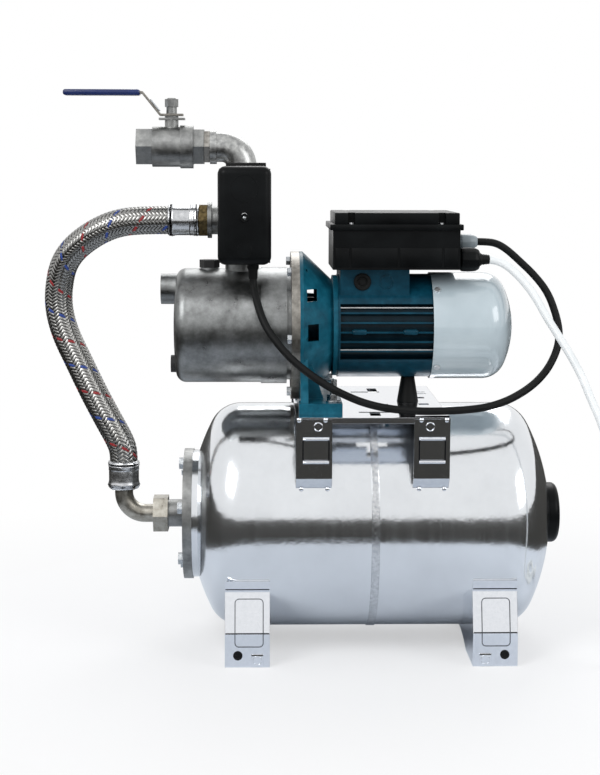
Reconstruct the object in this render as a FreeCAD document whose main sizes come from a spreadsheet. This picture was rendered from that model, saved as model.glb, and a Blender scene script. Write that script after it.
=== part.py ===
import FreeCAD, Part
import math
import os
import re

import Sketcher

# Booster pump set: jet pump on a horizontal 24 litre pressure tank. Millimetres, +X to the
# fan end, -Y to the front, +Z up. The origin lies on the floor, midway between the four floor
# screw holes of the feet, below the tank's axis.

V = FreeCAD.Vector
doc = FreeCAD.newDocument("booster_pump_set")

# Driving sizes, each set by itself
SIZES = {
    # Pressure tank
    "tank_radius": 135, "tank_wall": 1.2, "tank_clear": 19, "seam_offset": 4, "barrel_half": 156,
    "tank_knuckle": 40, "head_depth": 63, "seam_half": 3.5, "seam_raise": 0.8, "mouth_radius": 60,
    "bladder_gap": 5, "bladder_wall": 2, "bladder_neck": 50, "air_space": 45, "ring_radius": 77,
    "ring_back": 2.2, "flange_radius": 79, "flange_thick": 11, "stub_reach": 30, "stub_root": 14.5,
    "flange_pcd_radius": 66, "flange_bolt_turn": 13, "bolt_radius": 4, "bolt_across": 13,
    "bolt_head": 6, "bolt_grip": 13.2, "air_stem_radius": 5.8, "air_stem_reach": 8,
    "air_nut_across": 17, "air_nut_thick": 4, "air_flange_radius": 11, "cap_radius": 36.5,
    "cap_depth": 14, "cap_wall": 1.5, "cap_corner": 7,
    # Feet
    "foot_centre": 143.5, "foot_width": 52, "sheet": 2, "foot_front": 130, "foot_knee": 39,
    "tab_low": 67, "tab_high": 54, "foot_hole_out": 11, "foot_hole_up": 14, "foot_hole_radius": 5,
    "lip_depth": 22, "floor_hole_radius": 4, "floor_hole_reach": 117, "floor_hole_in": 11.5,
    "notch_half": 6, "notch_height": 14.5, "web_toe": 66, "web_rise": 12,
    # Pump plate
    "plate_gap": 1, "plate_half_x": 88, "plate_over": 2, "leg_width": 41.4, "leg_drop": 71,
    "leg_lean": 3, "leg_tab_drop": 12, "plate_skirt": 5,
    # Pump end
    "axis_height": 93, "face_back": 82, "casing_wall": 1.5, "casing_radius": 69, "band_radius": 70.5,
    "neck_radius": 66, "neck_length": 15, "band_length": 31, "barrel_length": 90, "casing_knuckle": 12,
    "casing_depth": 15, "rim_radius": 78, "rim_thick": 2, "seal_plate_thick": 3, "ring_thick": 5,
    "clamp_radius": 89.5, "casing_pcd_radius": 83.5, "casing_bolt_turn": 96, "casing_bolt_radius": 3,
    "casing_bolt_across": 10, "casing_bolt_head": 5, "suction_up": 44, "suction_out": 17.2,
    "suction_outer": 18.4, "port_radius": 15.15, "thread_fit": 0.1, "thread_crest": 16.6,
    "boss_radius": 20, "boss_height": 83, "riser_back": 69, "plug_thread": 6, "plug_across": 21,
    "plug_head": 9.5, "fill_back": 39, "drain_down": 47, "drain_radius": 10.5, "drain_head": 6,
    "shaft_fit": 0.05, "ejector_radius": 15, "ejector_length": 96, "nozzle_radius": 5,
    "diffuser_radius": 61, "diffuser_thick": 4, "impeller_radius": 52,
    "impeller_width": 11, "impeller_gap": 4.5, "seal_radius": 17, "seal_length": 16, "o_ring": 1.2,
    # Motor
    "bracket_length": 46, "bracket_wall": 6, "bracket_end_radius": 61, "bracket_foot_half": 115,
    "bracket_foot_thick": 13, "bracket_foot_length": 50, "bracket_web": 9, "window_size": 20,
    "bearing_outer": 20, "bearing_width": 12, "bearing_shaft": 8.5, "seal_shaft": 8, "core_shaft": 10,
    "end_shaft": 7, "motor_length": 114.5, "motor_radius": 62.5, "fin_root": 57, "motor_bore": 54,
    "fin_pitch": 11.4, "fin_thick": 2.2, "fin_top": 31, "stator_inner": 32.6, "stator_length": 68,
    "winding_reach": 14, "rotor_radius": 32, "rotor_start": 24, "pad_length": 82, "pad_half": 48,
    "pad_height": 71, "shield_thick": 6, "shield_radius": 61, "rod_radius": 1.8, "rod_up": 25,
    "rod_reach": 57.8, "fan_radius": 50, "fan_width": 20, "fan_gap": 8, "fan_hub": 12, "blade_thick": 2.5,
    "cover_radius": 64.5, "cover_wall": 1.2, "cover_lap": 2.5, "cover_barrel": 64, "cover_knuckle": 28,
    "cover_depth": 36, "vent_ring": 34, "vent_radius": 4.2, "cover_screw_back": 5.5,
    "rubber_base": 13, "rubber_top": 8, "rubber_back": 133, "rubber_shank": 3,
    "foot_bolt_half": 100, "foot_bolt_back": 38, "foot_bolt_above": 26, "foot_nut_across": 13,
    # Terminal box
    "box_left": 43.5, "box_length": 149.5, "box_half": 65, "box_height": 49.5, "box_wall": 2.5,
    "lid_lip": 3.5, "lid_lap": 2, "lip_height": 5.5, "lid_height": 11, "lid_inset": 1.5,
    "lid_screw_in": 21.5, "screw_radius": 2, "screw_head": 3.6, "screw_long": 14,
    "capacitor_radius": 17.5, "capacitor_length": 90, "block_length": 50,
    "gland_reach": 27, "black_gland_up": 11.2, "black_gland_front": 42, "black_nut": 14,
    "grey_gland_up": 31, "grey_gland_front": 12, "grey_nut": 9.5, "gland_flange": 5,
    # Pressure switch
    "switch_width": 62, "switch_height": 112, "switch_under": 49, "switch_back": 32,
    "switch_depth": 63, "switch_split": 30, "switch_wall": 2.5, "switch_corner": 9, "switch_right": 4,
    "switch_gland_radius": 7, "switch_gland_drop": 6, "switch_gland_right": 9.7, "switch_floor": 8,
    "spring_radius": 6, "spring_height": 46, "switch_port_up": 18, "quarter_radius": 5.6,
    # Riser, elbow and valve
    "hose_axis_up": 127, "fiveway_radius": 18, "fiveway_low": 8, "fiveway_height": 73,
    "fiveway_reach": 41, "collar_radius": 21.5, "collar_length": 5, "nipple_hex": 37,
    "nipple_hex_length": 10, "nipple_bore": 11, "nipple_grip": 9, "elbow_reach": 38, "elbow_bend": 24, "elbow_radius": 18,
    "elbow_bore": 13, "elbow_collar": 20.5, "elbow_collar_length": 8, "valve_axis_up": 215,
    "valve_neck": 7, "valve_length": 81, "valve_hex": 42, "valve_hex_length": 19,
    "valve_right_hex": 13, "valve_body_radius": 24, "valve_collar_radius": 25.8,
    "valve_collar_length": 15.5, "ball_back": 39, "ball_radius": 17.5, "ball_fit": 0.4,
    "valve_bore": 12, "seat_thick": 4, "stem_radius": 5, "stem_boss_radius": 8.2, "stem_boss_up": 36.5,
    "stem_top": 58, "lever_thick": 2.5, "lever_half": 10, "lever_plate_half": 14, "lever_rise": 29,
    "lever_run": 20, "lever_ease": 1.3, "lever_length": 127, "sleeve_thick": 6.6, "sleeve_half": 11.5,
    "sleeve_length": 90, "stem_nut_across": 14, "stem_nut_thick": 9.5, "stem_spacer": 8,
    "lock_thick": 1.5, "lock_length": 17, "lock_start": 4, "lock_half": 9, "running_gap": 0.3,
    # Hose and tank elbow
    "hose_radius": 17, "ferrule_radius": 18.2, "ferrule_length": 38,
    "tank_elbow_radius": 11, "tank_elbow_bend": 26, "tank_elbow_bore": 8, "union_across": 41,
    "union_length": 18, "union_shoulder": 2.8,
    "union_grip": 10, "union_tail": 10.2, "ferrule_tail": 5.5, "lower_ferrule_length": 33,
    "spigot": 8,
    # Cords
    "cable_radius": 4.5, "lead_radius": 4.75, "lead_length": 1500, "coil_x": 350, "coil_y": -90,
    "coil_mean": 54, "coil_half": 9.5, "coil_height": 19, "plug_length": 34, "plug_round": 17,
    "plug_tail": 20, "pin_radius": 2.4, "pin_length": 19, "pin_half": 9.5,
}

# Places worked out from the sizes
PLACES = {
    "tank_z": "tank_clear + tank_radius",
    "tank_crown": "(tank_knuckle^2 - (tank_radius - tank_knuckle)^2 - head_depth^2)"
                  " / (2 * (tank_knuckle - head_depth))",
    "mouth_depth": "head_depth - tank_crown + sqrt(tank_crown^2 - mouth_radius^2)",
    "ring_edge_depth": "head_depth - tank_crown + sqrt(tank_crown^2 - ring_radius^2)",
    "cap_seat_depth": "head_depth - tank_crown + sqrt(tank_crown^2 - cap_radius^2)",
    "ring_face": "barrel_half + mouth_depth + ring_back",
    "flange_face": "ring_face + flange_thick",
    "air_end": "seam_offset + barrel_half + head_depth",
    "plate_under": "tank_z + tank_radius + plate_gap",
    "plate_half_y": "tank_radius + plate_over",
    "plate_top": "plate_under + sheet",
    "pump_z": "plate_top + axis_height",
    "face_x": "-face_back",
    "casing_crown": "(casing_knuckle^2 - (casing_radius - casing_knuckle)^2 - casing_depth^2)"
                    " / (2 * (casing_knuckle - casing_depth))",
    "neck_x": "face_x - neck_length",
    "band_x": "neck_x - band_length",
    "barrel_x": "band_x - barrel_length",
    "casing_end": "barrel_x - casing_depth",
    "suction_depth": "casing_depth - casing_crown + sqrt(casing_crown^2 - suction_up^2)",
    "suction_end": "barrel_x - suction_depth - suction_out",
    "drain_depth": "casing_depth - casing_crown + sqrt(casing_crown^2 - drain_down^2)",
    "drain_x": "barrel_x - drain_depth",
    "riser_x": "face_x - riser_back",
    "fill_x": "riser_x - fill_back",
    "boss_top": "pump_z + boss_height",
    "motor_x": "face_x + bracket_length",
    "motor_end": "motor_x + motor_length",
    "cover_x": "motor_end - cover_lap",
    "cover_crown": "(cover_knuckle^2 - (cover_radius - cover_knuckle)^2 - cover_depth^2)"
                   " / (2 * (cover_knuckle - cover_depth))",
    "cover_end": "cover_x + cover_barrel + cover_depth",
    "bearing_x": "motor_x - bearing_width",
    "rear_bearing_x": "motor_end",
    "rotor_x": "motor_x + rotor_start",
    "impeller_x": "face_x - seal_plate_thick - seal_length - impeller_width - running_gap",
    "diffuser_x": "impeller_x - impeller_gap - diffuser_thick",
    "fan_x": "motor_end + shield_thick + fan_gap",
    "pad_z": "pump_z + pad_height",
    "box_x": "-box_left",
    "box_end": "box_x + box_length",
    "box_top": "pad_z + box_height",
    "lid_low": "box_top - lid_lap",
    "lip_top": "lid_low + lip_height",
    "lid_top": "lip_top + lid_height",
    "hose_z": "pump_z + hose_axis_up",
    "fiveway_z": "boss_top + fiveway_low",
    "fiveway_top": "fiveway_z + fiveway_height",
    "valve_z": "pump_z + valve_axis_up",
    "elbow_under": "valve_z - elbow_reach",
    "elbow_left": "riser_x - elbow_reach",
    "valve_right": "elbow_left - valve_neck",
    "valve_left": "valve_right - valve_length",
    "ball_x": "valve_right - ball_back",
    "boss_z": "valve_z + stem_boss_up",
    "lever_z": "boss_z + running_gap",
    "handle_z": "lever_z + lever_rise",
    "handle_x": "ball_x - lever_plate_half - lever_run",
    "lever_tip": "ball_x - lever_length",
    "hose_x": "riser_x - fiveway_reach - nipple_hex_length",
    "ferrule_x": "hose_x - ferrule_length",
    "flange_x": "seam_offset - flange_face",
    "stub_end": "flange_x - stub_reach",
    "union_x": "stub_end + union_grip - union_length",
    "tank_hose_x": "union_x - tank_elbow_bend - union_tail",
    "tank_bend_z": "tank_z + tank_elbow_bend",
    "lower_ferrule_z": "tank_bend_z + ferrule_tail",
    "switch_x": "riser_x + switch_right",
    "switch_front": "-(switch_back + switch_depth)",
    "switch_low": "hose_z - switch_under",
    "switch_mid": "switch_low + switch_height / 2",
    "switch_outlet_y": "-(switch_back + switch_split * 0.75)",
    "switch_port_z": "hose_z + switch_port_up",
    "incline_run": "lever_run + lever_ease",
    "incline_rise": "lever_rise - lever_thick",
    "incline_long": "sqrt(incline_run^2 + incline_rise^2)",
    "web_arch": "(web_toe^2 + web_rise^2) / (2 * web_rise)",
    "grey_gland_z": "pad_z + grey_gland_up",
    "black_gland_z": "pad_z + black_gland_up",
    "gland_end": "box_end + gland_reach",
    "foot_bolt_x": "face_x + foot_bolt_back",
    "rubber_x": "face_x + rubber_back",
}


def fill_sheet(name, rows):
    sheet = doc.addObject("Spreadsheet::Sheet", name)
    for line, (alias, content) in enumerate(rows.items(), 1):
        sheet.set("A%d" % line, alias)
        sheet.set("B%d" % line, content if isinstance(content, str) else repr(float(content)))
        sheet.setAlias("B%d" % line, alias)
    return sheet


def full(text):
    """A formula with each size's sheet put before its name."""
    return re.sub(r"\b([a-z]\w*)\b(?!\()", lambda hit: homes[hit.group(1)] + "." + hit.group(1), text)


homes = {name: "dims" for name in SIZES}
homes.update({name: "places" for name in PLACES})
dims = fill_sheet("dims", SIZES)
places = fill_sheet("places", {name: "=" + full(text) for name, text in PLACES.items()})
doc.recompute()


def number(text):
    return float(places.evalExpression(full(text)))


def bind(thing, **formulas):
    for prop, text in formulas.items():
        thing.setExpression(prop, full(text))


def turn(x_goes, y_goes):
    """The rotation that takes +X and +Y to the two given directions."""
    a, b = V(*x_goes), V(*y_goes)
    c = a.cross(b)
    return FreeCAD.Rotation(FreeCAD.Matrix(a.x, b.x, c.x, 0, a.y, b.y, c.y, 0, a.z, b.z, c.z, 0, 0, 0, 0, 1))


# Where a primitive's own Z axis points
AIMS = {
    "Z": turn((1, 0, 0), (0, 1, 0)), "-Z": turn((1, 0, 0), (0, -1, 0)),
    "X": turn((0, 1, 0), (0, 0, 1)), "-X": turn((0, 1, 0), (0, 0, -1)),
    "Y": turn((0, 0, 1), (1, 0, 0)), "-Y": turn((1, 0, 0), (0, 0, 1)),
}
# Where a turned profile's axis points
SPINS = {
    "X": turn((1, 0, 0), (0, 1, 0)), "-X": turn((-1, 0, 0), (0, -1, 0)),
    "Z": turn((0, 0, 1), (1, 0, 0)), "-Z": turn((0, 0, -1), (1, 0, 0)),
    "Y": turn((0, 1, 0), (0, 0, 1)), "-Y": turn((0, -1, 0), (1, 0, 0)),
}
# How a flat outline stands: on the floor, seen from the side (grows to +X), from the front (to -Y)
STANDS = {
    "flat": turn((1, 0, 0), (0, 1, 0)),
    "side": turn((0, 1, 0), (0, 0, 1)),
    "front": turn((1, 0, 0), (0, 0, 1)),
}
NODES = {}


def place(thing, at, rotation):
    thing.Placement = FreeCAD.Placement(V(), rotation)
    for axis, text in zip("xyz", at):
        thing.setExpression("Placement.Base." + axis, full(text))
    return thing


def rod(radius, length, at, aim="X"):
    thing = doc.addObject("Part::Cylinder", "rod")
    bind(thing, Radius=radius, Height=length)
    return place(thing, at, AIMS[aim])


def cone(start_radius, end_radius, length, at, aim="X"):
    thing = doc.addObject("Part::Cone", "cone")
    bind(thing, Radius1=start_radius, Radius2=end_radius, Height=length)
    return place(thing, at, AIMS[aim])


def hexagon(across, length, at, aim="X"):
    thing = doc.addObject("Part::Prism", "hexagon")
    thing.Polygon = 6
    bind(thing, Circumradius="(%s) / sqrt(3)" % across, Height=length)
    return place(thing, at, AIMS[aim])


def block(low, size):
    thing = doc.addObject("Part::Box", "block")
    bind(thing, Length=size[0], Width=size[1], Height=size[2])
    return place(thing, low, AIMS["Z"])


def ball(radius, at):
    thing = doc.addObject("Part::Sphere", "ball")
    bind(thing, Radius=radius)
    return place(thing, at, AIMS["Z"])


def quarter_bend(bend, radius, at, rotation):
    thing = doc.addObject("Part::Torus", "bend")
    thing.Angle3 = 90
    bind(thing, Radius1=bend, Radius2=radius)
    return place(thing, at, rotation)


def fuse(*shapes):
    thing = doc.addObject("Part::MultiFuse", "fusion")
    thing.Shapes = list(shapes)
    thing.Refine = True
    return thing


def group(*shapes):
    thing = doc.addObject("Part::Compound", "group")
    thing.Links = list(shapes)
    return thing


def cut(base, *tools):
    thing = doc.addObject("Part::Cut", "cut")
    thing.Base = base
    thing.Tool = tools[0] if len(tools) == 1 else fuse(*tools)
    return thing


def common(first, second):
    thing = doc.addObject("Part::Common", "common")
    thing.Base = first
    thing.Tool = second
    return thing


def mirrored(source, normal, base=(0, 0, 0)):
    thing = doc.addObject("Part::Mirroring", "mirrored")
    thing.Source = source
    thing.Base = base
    thing.Normal = normal
    return thing


def draw(sketch, steps, first):
    """A closed outline. A step is (x, y), or (x, y, radius) for an arc that arrives there:
    a radius with a minus sign bends to the right of the way the outline runs."""
    spots = [V(number(step[0]), number(step[1]), 0) for step in steps]
    edges = []
    for index, start in enumerate(spots):
        after = (index + 1) % len(steps)
        end = spots[after]
        if len(steps[after]) == 2:
            edges.append((sketch.addGeometry(Part.LineSegment(start, end)), 1, 2))
            continue
        signed = number(steps[after][2])
        left = V(start.y - end.y, end.x - start.x, 0).normalize()
        rise = math.sqrt(max(signed ** 2 - ((end - start).Length / 2) ** 2, 0))
        centre = (start + end) * 0.5 + left * math.copysign(rise, signed)
        angles = [math.atan2(spot.y - centre.y, spot.x - centre.x) for spot in (start, end)]
        ends = (1, 2)
        if signed < 0:
            angles.reverse()
            ends = (2, 1)
        if angles[1] <= angles[0]:
            angles[1] += 2 * math.pi
        circle = Part.Circle(centre, V(0, 0, 1), abs(signed))
        edges.append((sketch.addGeometry(Part.ArcOfCircle(circle, angles[0], angles[1])),) + ends)
    for index, step in enumerate(steps):
        edge, start_end, _ = edges[index]
        before, _, before_end = edges[index - 1]
        sketch.addConstraint(Sketcher.Constraint("Coincident", before, before_end, edge, start_end))
        for kind, text in zip(("DistanceX", "DistanceY"), step):
            rule = Sketcher.Constraint(kind, -1, 1, edge, start_end, number(text))
            sketch.setExpression("Constraints[%d]" % sketch.addConstraint(rule), full(text))
        if len(step) == 3:
            rule = Sketcher.Constraint("Radius", before, abs(number(step[2])))
            sketch.setExpression("Constraints[%d]" % sketch.addConstraint(rule),
                                 full("abs(%s)" % step[2]))
    for across, up, radius in first:
        spot = V(number(across), number(up), 0)
        edge = sketch.addGeometry(Part.Circle(spot, V(0, 0, 1), number(radius)))
        for kind, text in (("DistanceX", across), ("DistanceY", up)):
            rule = Sketcher.Constraint(kind, -1, 1, edge, 3, number(text))
            sketch.setExpression("Constraints[%d]" % sketch.addConstraint(rule), full(text))
        rule = Sketcher.Constraint("Radius", edge, number(radius))
        sketch.setExpression("Constraints[%d]" % sketch.addConstraint(rule), full(radius))


def sketched(steps, holes=()):
    body = doc.addObject("PartDesign::Body", "body")
    sketch = body.newObject("Sketcher::SketchObject", "outline")
    plane = [part for part in body.Origin.OriginFeatures if part.Role == "XY_Plane"][0]
    sketch.AttachmentSupport = [(plane, "")]
    sketch.MapMode = "FlatFace"
    draw(sketch, steps, holes)
    return body, sketch


def turned(steps, at=("0", "0", "0"), spin="X"):
    """A body turned about its axis; a step is (along the axis, radius)."""
    body, sketch = sketched(steps)
    feature = body.newObject("PartDesign::Revolution", "turned")
    feature.Profile = sketch
    feature.ReferenceAxis = (sketch, ["H_Axis"])
    feature.Angle = 360
    return place(body, at, SPINS[spin])


def sheeted(steps, thick, at=("0", "0", "0"), stand="flat", holes=()):
    """A flat outline grown to a thickness."""
    body, sketch = sketched(steps, holes)
    feature = body.newObject("PartDesign::Pad", "sheeted")
    feature.Profile = sketch
    bind(feature, Length=thick)
    return place(body, at, STANDS[stand])


def node(name, thing):
    thing.Label = name
    NODES[name] = thing


def dome(start, radius, knuckle, depth, crown, inset="0"):
    """The two arcs of a dished head: the knuckle's end and the apex, inset by a wall."""
    run, rise = "(%s - %s)" % (crown, depth), "(%s - %s)" % (radius, knuckle)
    share = "(%s - %s) / (%s - %s)" % (knuckle, inset, crown, knuckle)
    return [
        ("%s + %s * %s" % (start, share, run), "%s + %s * %s" % (rise, share, rise)),
        ("%s + %s - %s" % (start, depth, inset), "0"),
    ]


def crown_at(start, depth, crown, at_radius, inset="0"):
    """How far out a dished head stands at a radius from its axis."""
    return "%s + %s - %s + sqrt((%s - %s)^2 - (%s)^2)" % (start, depth, crown, crown, inset, at_radius)


# Pressure tank: two drawn half shells that meet at a rolled seam
def tank_half(opening):
    knee, _ = dome("barrel_half", "tank_radius", "tank_knuckle", "head_depth", "tank_crown")
    inner, _ = dome("barrel_half", "tank_radius", "tank_knuckle", "head_depth", "tank_crown", "tank_wall")
    edge = crown_at("barrel_half", "head_depth", "tank_crown", opening)
    inner_edge = crown_at("barrel_half", "head_depth", "tank_crown", opening, "tank_wall")
    return [
        ("0", "tank_radius + seam_raise"), ("seam_half", "tank_radius + seam_raise"),
        ("seam_half", "tank_radius"), ("barrel_half", "tank_radius"),
        knee + ("-tank_knuckle",), (edge, opening, "-tank_crown"),
        (inner_edge, opening), inner + ("tank_crown - tank_wall",),
        ("barrel_half", "tank_radius - tank_wall", "tank_knuckle - tank_wall"),
        ("0", "tank_radius - tank_wall"),
    ]


def tank():
    axis = ("seam_offset", "0", "tank_z")
    neck = turned([
        ("barrel_half + mouth_depth", "mouth_radius"),
        ("barrel_half + ring_edge_depth", "ring_radius", "tank_crown"),
        ("ring_face", "ring_radius"), ("ring_face", "mouth_radius"),
    ], axis, "-X")
    bolts = bolt_places("flange_pcd_radius", "flange_bolt_turn", 6)
    holes = [rod("bolt_radius + running_gap", "ring_back + tank_wall * 2 + flange_thick",
                 ("flange_x + flange_thick - 1", y, "tank_z + " + z)) for y, z in bolts]
    node("tank_shell_water_side", fuse(turned(tank_half("mouth_radius"), axis, "-X"),
                                       cut(neck, *holes)))
    node("tank_shell_air_side", turned(tank_half("air_stem_radius + running_gap"), axis))

    outer = "tank_wall + bladder_gap"
    inner = outer + " + bladder_wall"
    far_start = "air_space - barrel_half"
    shape = ("tank_radius", "tank_knuckle", "head_depth", "tank_crown")
    knee = [dome("barrel_half", *shape, inset="(%s)" % wall)[0] for wall in (outer, inner)]
    far = [dome("0", *shape, inset="(%s)" % wall) for wall in (outer, inner)]
    far = [[("%s - (%s)" % (far_start, x), r) for x, r in side] for side in far]
    neck_edge = crown_at("barrel_half", "head_depth", "tank_crown", "bladder_neck", "(%s)" % outer)
    neck_inner = crown_at("barrel_half", "head_depth", "tank_crown", "bladder_neck - bladder_wall",
                          "(%s)" % inner)
    node("tank_bladder", turned([
        ("ring_face", "bladder_neck - bladder_wall"), ("ring_face", "mouth_radius - 1"),
        ("ring_face - bladder_wall", "mouth_radius - 1"), ("ring_face - bladder_wall", "bladder_neck"),
        (neck_edge, "bladder_neck"), knee[0] + ("tank_crown - (%s)" % outer,),
        ("barrel_half", "tank_radius - (%s)" % outer, "tank_knuckle - (%s)" % outer),
        (far_start, "tank_radius - (%s)" % outer),
        far[0][0] + ("tank_knuckle - (%s)" % outer,), far[0][1] + ("tank_crown - (%s)" % outer,),
        far[1][1], far[1][0] + ("-(tank_crown - (%s))" % inner,),
        (far_start, "tank_radius - (%s)" % inner, "-(tank_knuckle - (%s))" % inner),
        ("barrel_half", "tank_radius - (%s)" % inner),
        knee[1] + ("-(tank_knuckle - (%s))" % inner,),
        (neck_inner, "bladder_neck - bladder_wall", "-(tank_crown - (%s))" % inner),
    ], axis, "-X"))

    flange = turned([
        ("ring_face", "stub_root"), ("ring_face", "flange_radius"), ("flange_face", "flange_radius"),
        ("flange_face", "thread_crest"), ("flange_face + stub_reach", "thread_crest"),
        ("flange_face + stub_reach", "stub_root"),
    ], axis, "-X")
    node("tank_flange", cut(flange, *[
        rod("bolt_radius + running_gap", "flange_thick + 2", ("flange_x - 1", y, "tank_z + " + z))
        for y, z in bolts]))
    node("flange_bolts", group(*[
        fuse(hexagon("bolt_across", "bolt_head", ("flange_x - bolt_head", y, "tank_z + " + z)),
             rod("bolt_radius", "bolt_grip", ("flange_x", y, "tank_z + " + z))) for y, z in bolts]))

    stem = turned([
        ("-3 - tank_wall", "0"), ("-3 - tank_wall", "air_flange_radius"),
        ("-1 - tank_wall", "air_flange_radius"), ("-1 - tank_wall", "air_stem_radius"),
        ("air_stem_reach", "air_stem_radius"), ("air_stem_reach", "0"),
    ], ("air_end", "0", "tank_z"))
    nut = cut(hexagon("air_nut_across", "air_nut_thick", ("air_end + running_gap", "0", "tank_z")),
              rod("air_stem_radius + thread_fit", "air_nut_thick + 2", ("air_end - 1", "0", "tank_z")))
    node("air_valve", group(stem, nut))
    rim = "barrel_half + cap_seat_depth + running_gap"
    node("air_valve_cap", turned([
        (rim, "cap_radius - cap_wall"), (rim, "cap_radius"),
        (rim + " + cap_depth - cap_corner", "cap_radius"),
        (rim + " + cap_depth", "cap_radius - cap_corner", "-cap_corner"), (rim + " + cap_depth", "0"),
        (rim + " + cap_depth - cap_wall", "0"),
        (rim + " + cap_depth - cap_wall", "cap_radius - cap_corner"),
        (rim + " + cap_depth - cap_corner", "cap_radius - cap_wall", "cap_corner - cap_wall"),
    ], axis))


def bolt_places(radius, first_turn, count):
    """Y and Z of bolts on a circle; the first is turned from the top towards the front."""
    step = 360 / count
    return [("-(%s) * sin(%s + %g)" % (radius, first_turn, step * turn_no),
             "%s * cos(%s + %g)" % (radius, first_turn, step * turn_no)) for turn_no in range(count)]


# Feet: pressed saddles, each with two webs, a front and a rear leg and floor lips
def foot(side):
    centre = "%g * foot_centre" % side
    low = "(%s - foot_width / 2)" % centre
    tab = "sqrt(tank_radius^2 - %s^2)"
    leg = sheeted([
        ("-foot_front", "0"), ("-foot_front + lip_depth", "0"), ("-foot_front + lip_depth", "sheet"),
        ("-foot_front + sheet", "sheet"), ("-foot_front + sheet", "foot_knee"),
        ("-" + tab % "tab_low" + " + 1", "tank_z - tab_low"),
        ("-" + tab % "tab_high" + " + 1", "tank_z - tab_high"),
        ("-" + tab % "tab_high" + " - sheet", "tank_z - tab_high"),
        ("-" + tab % "tab_low" + " - sheet", "tank_z - tab_low - 1"), ("-foot_front", "foot_knee"),
    ], "foot_width", (low, "0", "0"), "side")
    legs = [leg, mirrored(leg, (0, 1, 0))]
    web = [
        ("-foot_front + sheet / 2", "0"), ("-web_toe", "0"), ("0", "web_rise", "-web_arch"),
        ("web_toe", "0", "-web_arch"), ("foot_front - sheet / 2", "0"),
        ("foot_front - sheet / 2", "foot_knee"), (tab % "tab_low", "tank_z - tab_low"),
        ("-" + tab % "tab_low", "tank_z - tab_low"), ("-foot_front + sheet / 2", "foot_knee"),
    ]
    webs = [sheeted(web, "sheet", (x, "0", "0"), "side")
            for x in (low, low + " + foot_width - sheet")]
    hole_x = "%s + %g * foot_hole_out" % (centre, side)
    screw_x = "%s - %g * floor_hole_in" % (centre, side)
    holes = [rod("foot_hole_radius", "sheet * 4", (hole_x, low_y, "foot_hole_up"), "Y")
             for low_y in ("-foot_front - sheet * 2", "foot_front - sheet * 2")]
    holes += [rod("floor_hole_radius", "sheet * 3", (screw_x, way + "floor_hole_reach", "-sheet"), "Z")
              for way in ("-", "")]
    holes += [block((screw_x + " - notch_half", low_y, "sheet"),
                    ("notch_half * 2", "sheet * 2", "notch_height - sheet"))
              for low_y in ("-foot_front - sheet / 2", "foot_front - sheet * 1.5")]
    vessel = rod("tank_radius", "foot_width + 2", (low + " - 1", "0", "tank_z"))
    return cut(cut(fuse(*legs, *webs), vessel), *holes)


# Plate that carries the pump, on four bent legs welded to the tank
def pump_plate():
    top = block(("-plate_half_x", "-plate_half_y", "plate_under"),
                ("plate_half_x * 2", "plate_half_y * 2", "sheet"))
    parts = [top]
    reach = "sqrt(tank_radius^2 - (plate_top - leg_drop - leg_tab_drop - tank_z)^2)"
    knee = "plate_half_y - leg_lean"
    for low_x in ("-plate_half_x", "plate_half_x - leg_width"):
        leg = sheeted([
            ("-plate_half_y", "plate_top"), ("-(%s)" % knee, "plate_top - leg_drop"),
            ("-(%s) - sheet * 0.4" % reach, "plate_top - leg_drop - leg_tab_drop"),
            ("-(%s) + sheet * 0.9" % reach, "plate_top - leg_drop - leg_tab_drop + sheet"),
            ("-(%s) + sheet" % knee, "plate_top - leg_drop + sheet * 0.4"),
            ("-plate_half_y + sheet", "plate_under"),
        ], "leg_width", (low_x, "0", "0"), "side")
        parts += [leg, mirrored(leg, (0, 1, 0))]
    for low_y in ("-plate_half_y", "plate_half_y - sheet"):
        parts.append(block(("-plate_half_x + leg_width", low_y, "plate_under - plate_skirt"),
                           ("(plate_half_x - leg_width) * 2", "sheet", "plate_skirt + sheet / 2")))
    slots = [block((x, y, "plate_under - sheet"), (length, width, "sheet * 4")) for x, y, length, width in (
        ("-14", "-plate_half_y + 39", "36", "8"), ("-2", "-plate_half_y + 15", "12", "24"),
        ("-14", "plate_half_y - 61", "36", "8"), ("8", "plate_half_y - 53", "12", "30"),
        ("plate_half_x - 26", "-34", "12", "12"), ("plate_half_x - 26", "22", "12", "12"),
        ("plate_half_x - 30", "plate_half_y - 75", "22", "5"),
        ("plate_half_x - 30", "plate_half_y - 59", "22", "5"), ("20", "-60", "5", "34"))]
    bolts = [rod("bolt_radius + running_gap", "sheet * 4", ("foot_bolt_x", way + "foot_bolt_half",
                                                           "plate_under - sheet"), "Z") for way in ("-", "")]
    bolts.append(rod("rubber_shank + running_gap", "sheet * 4", ("rubber_x", "0", "plate_under - sheet"), "Z"))
    vessel = rod("tank_radius", "plate_half_x * 2 + 2", ("-plate_half_x - 1", "0", "tank_z"))
    return cut(fuse(*parts), vessel, *slots, *bolts)


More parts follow.
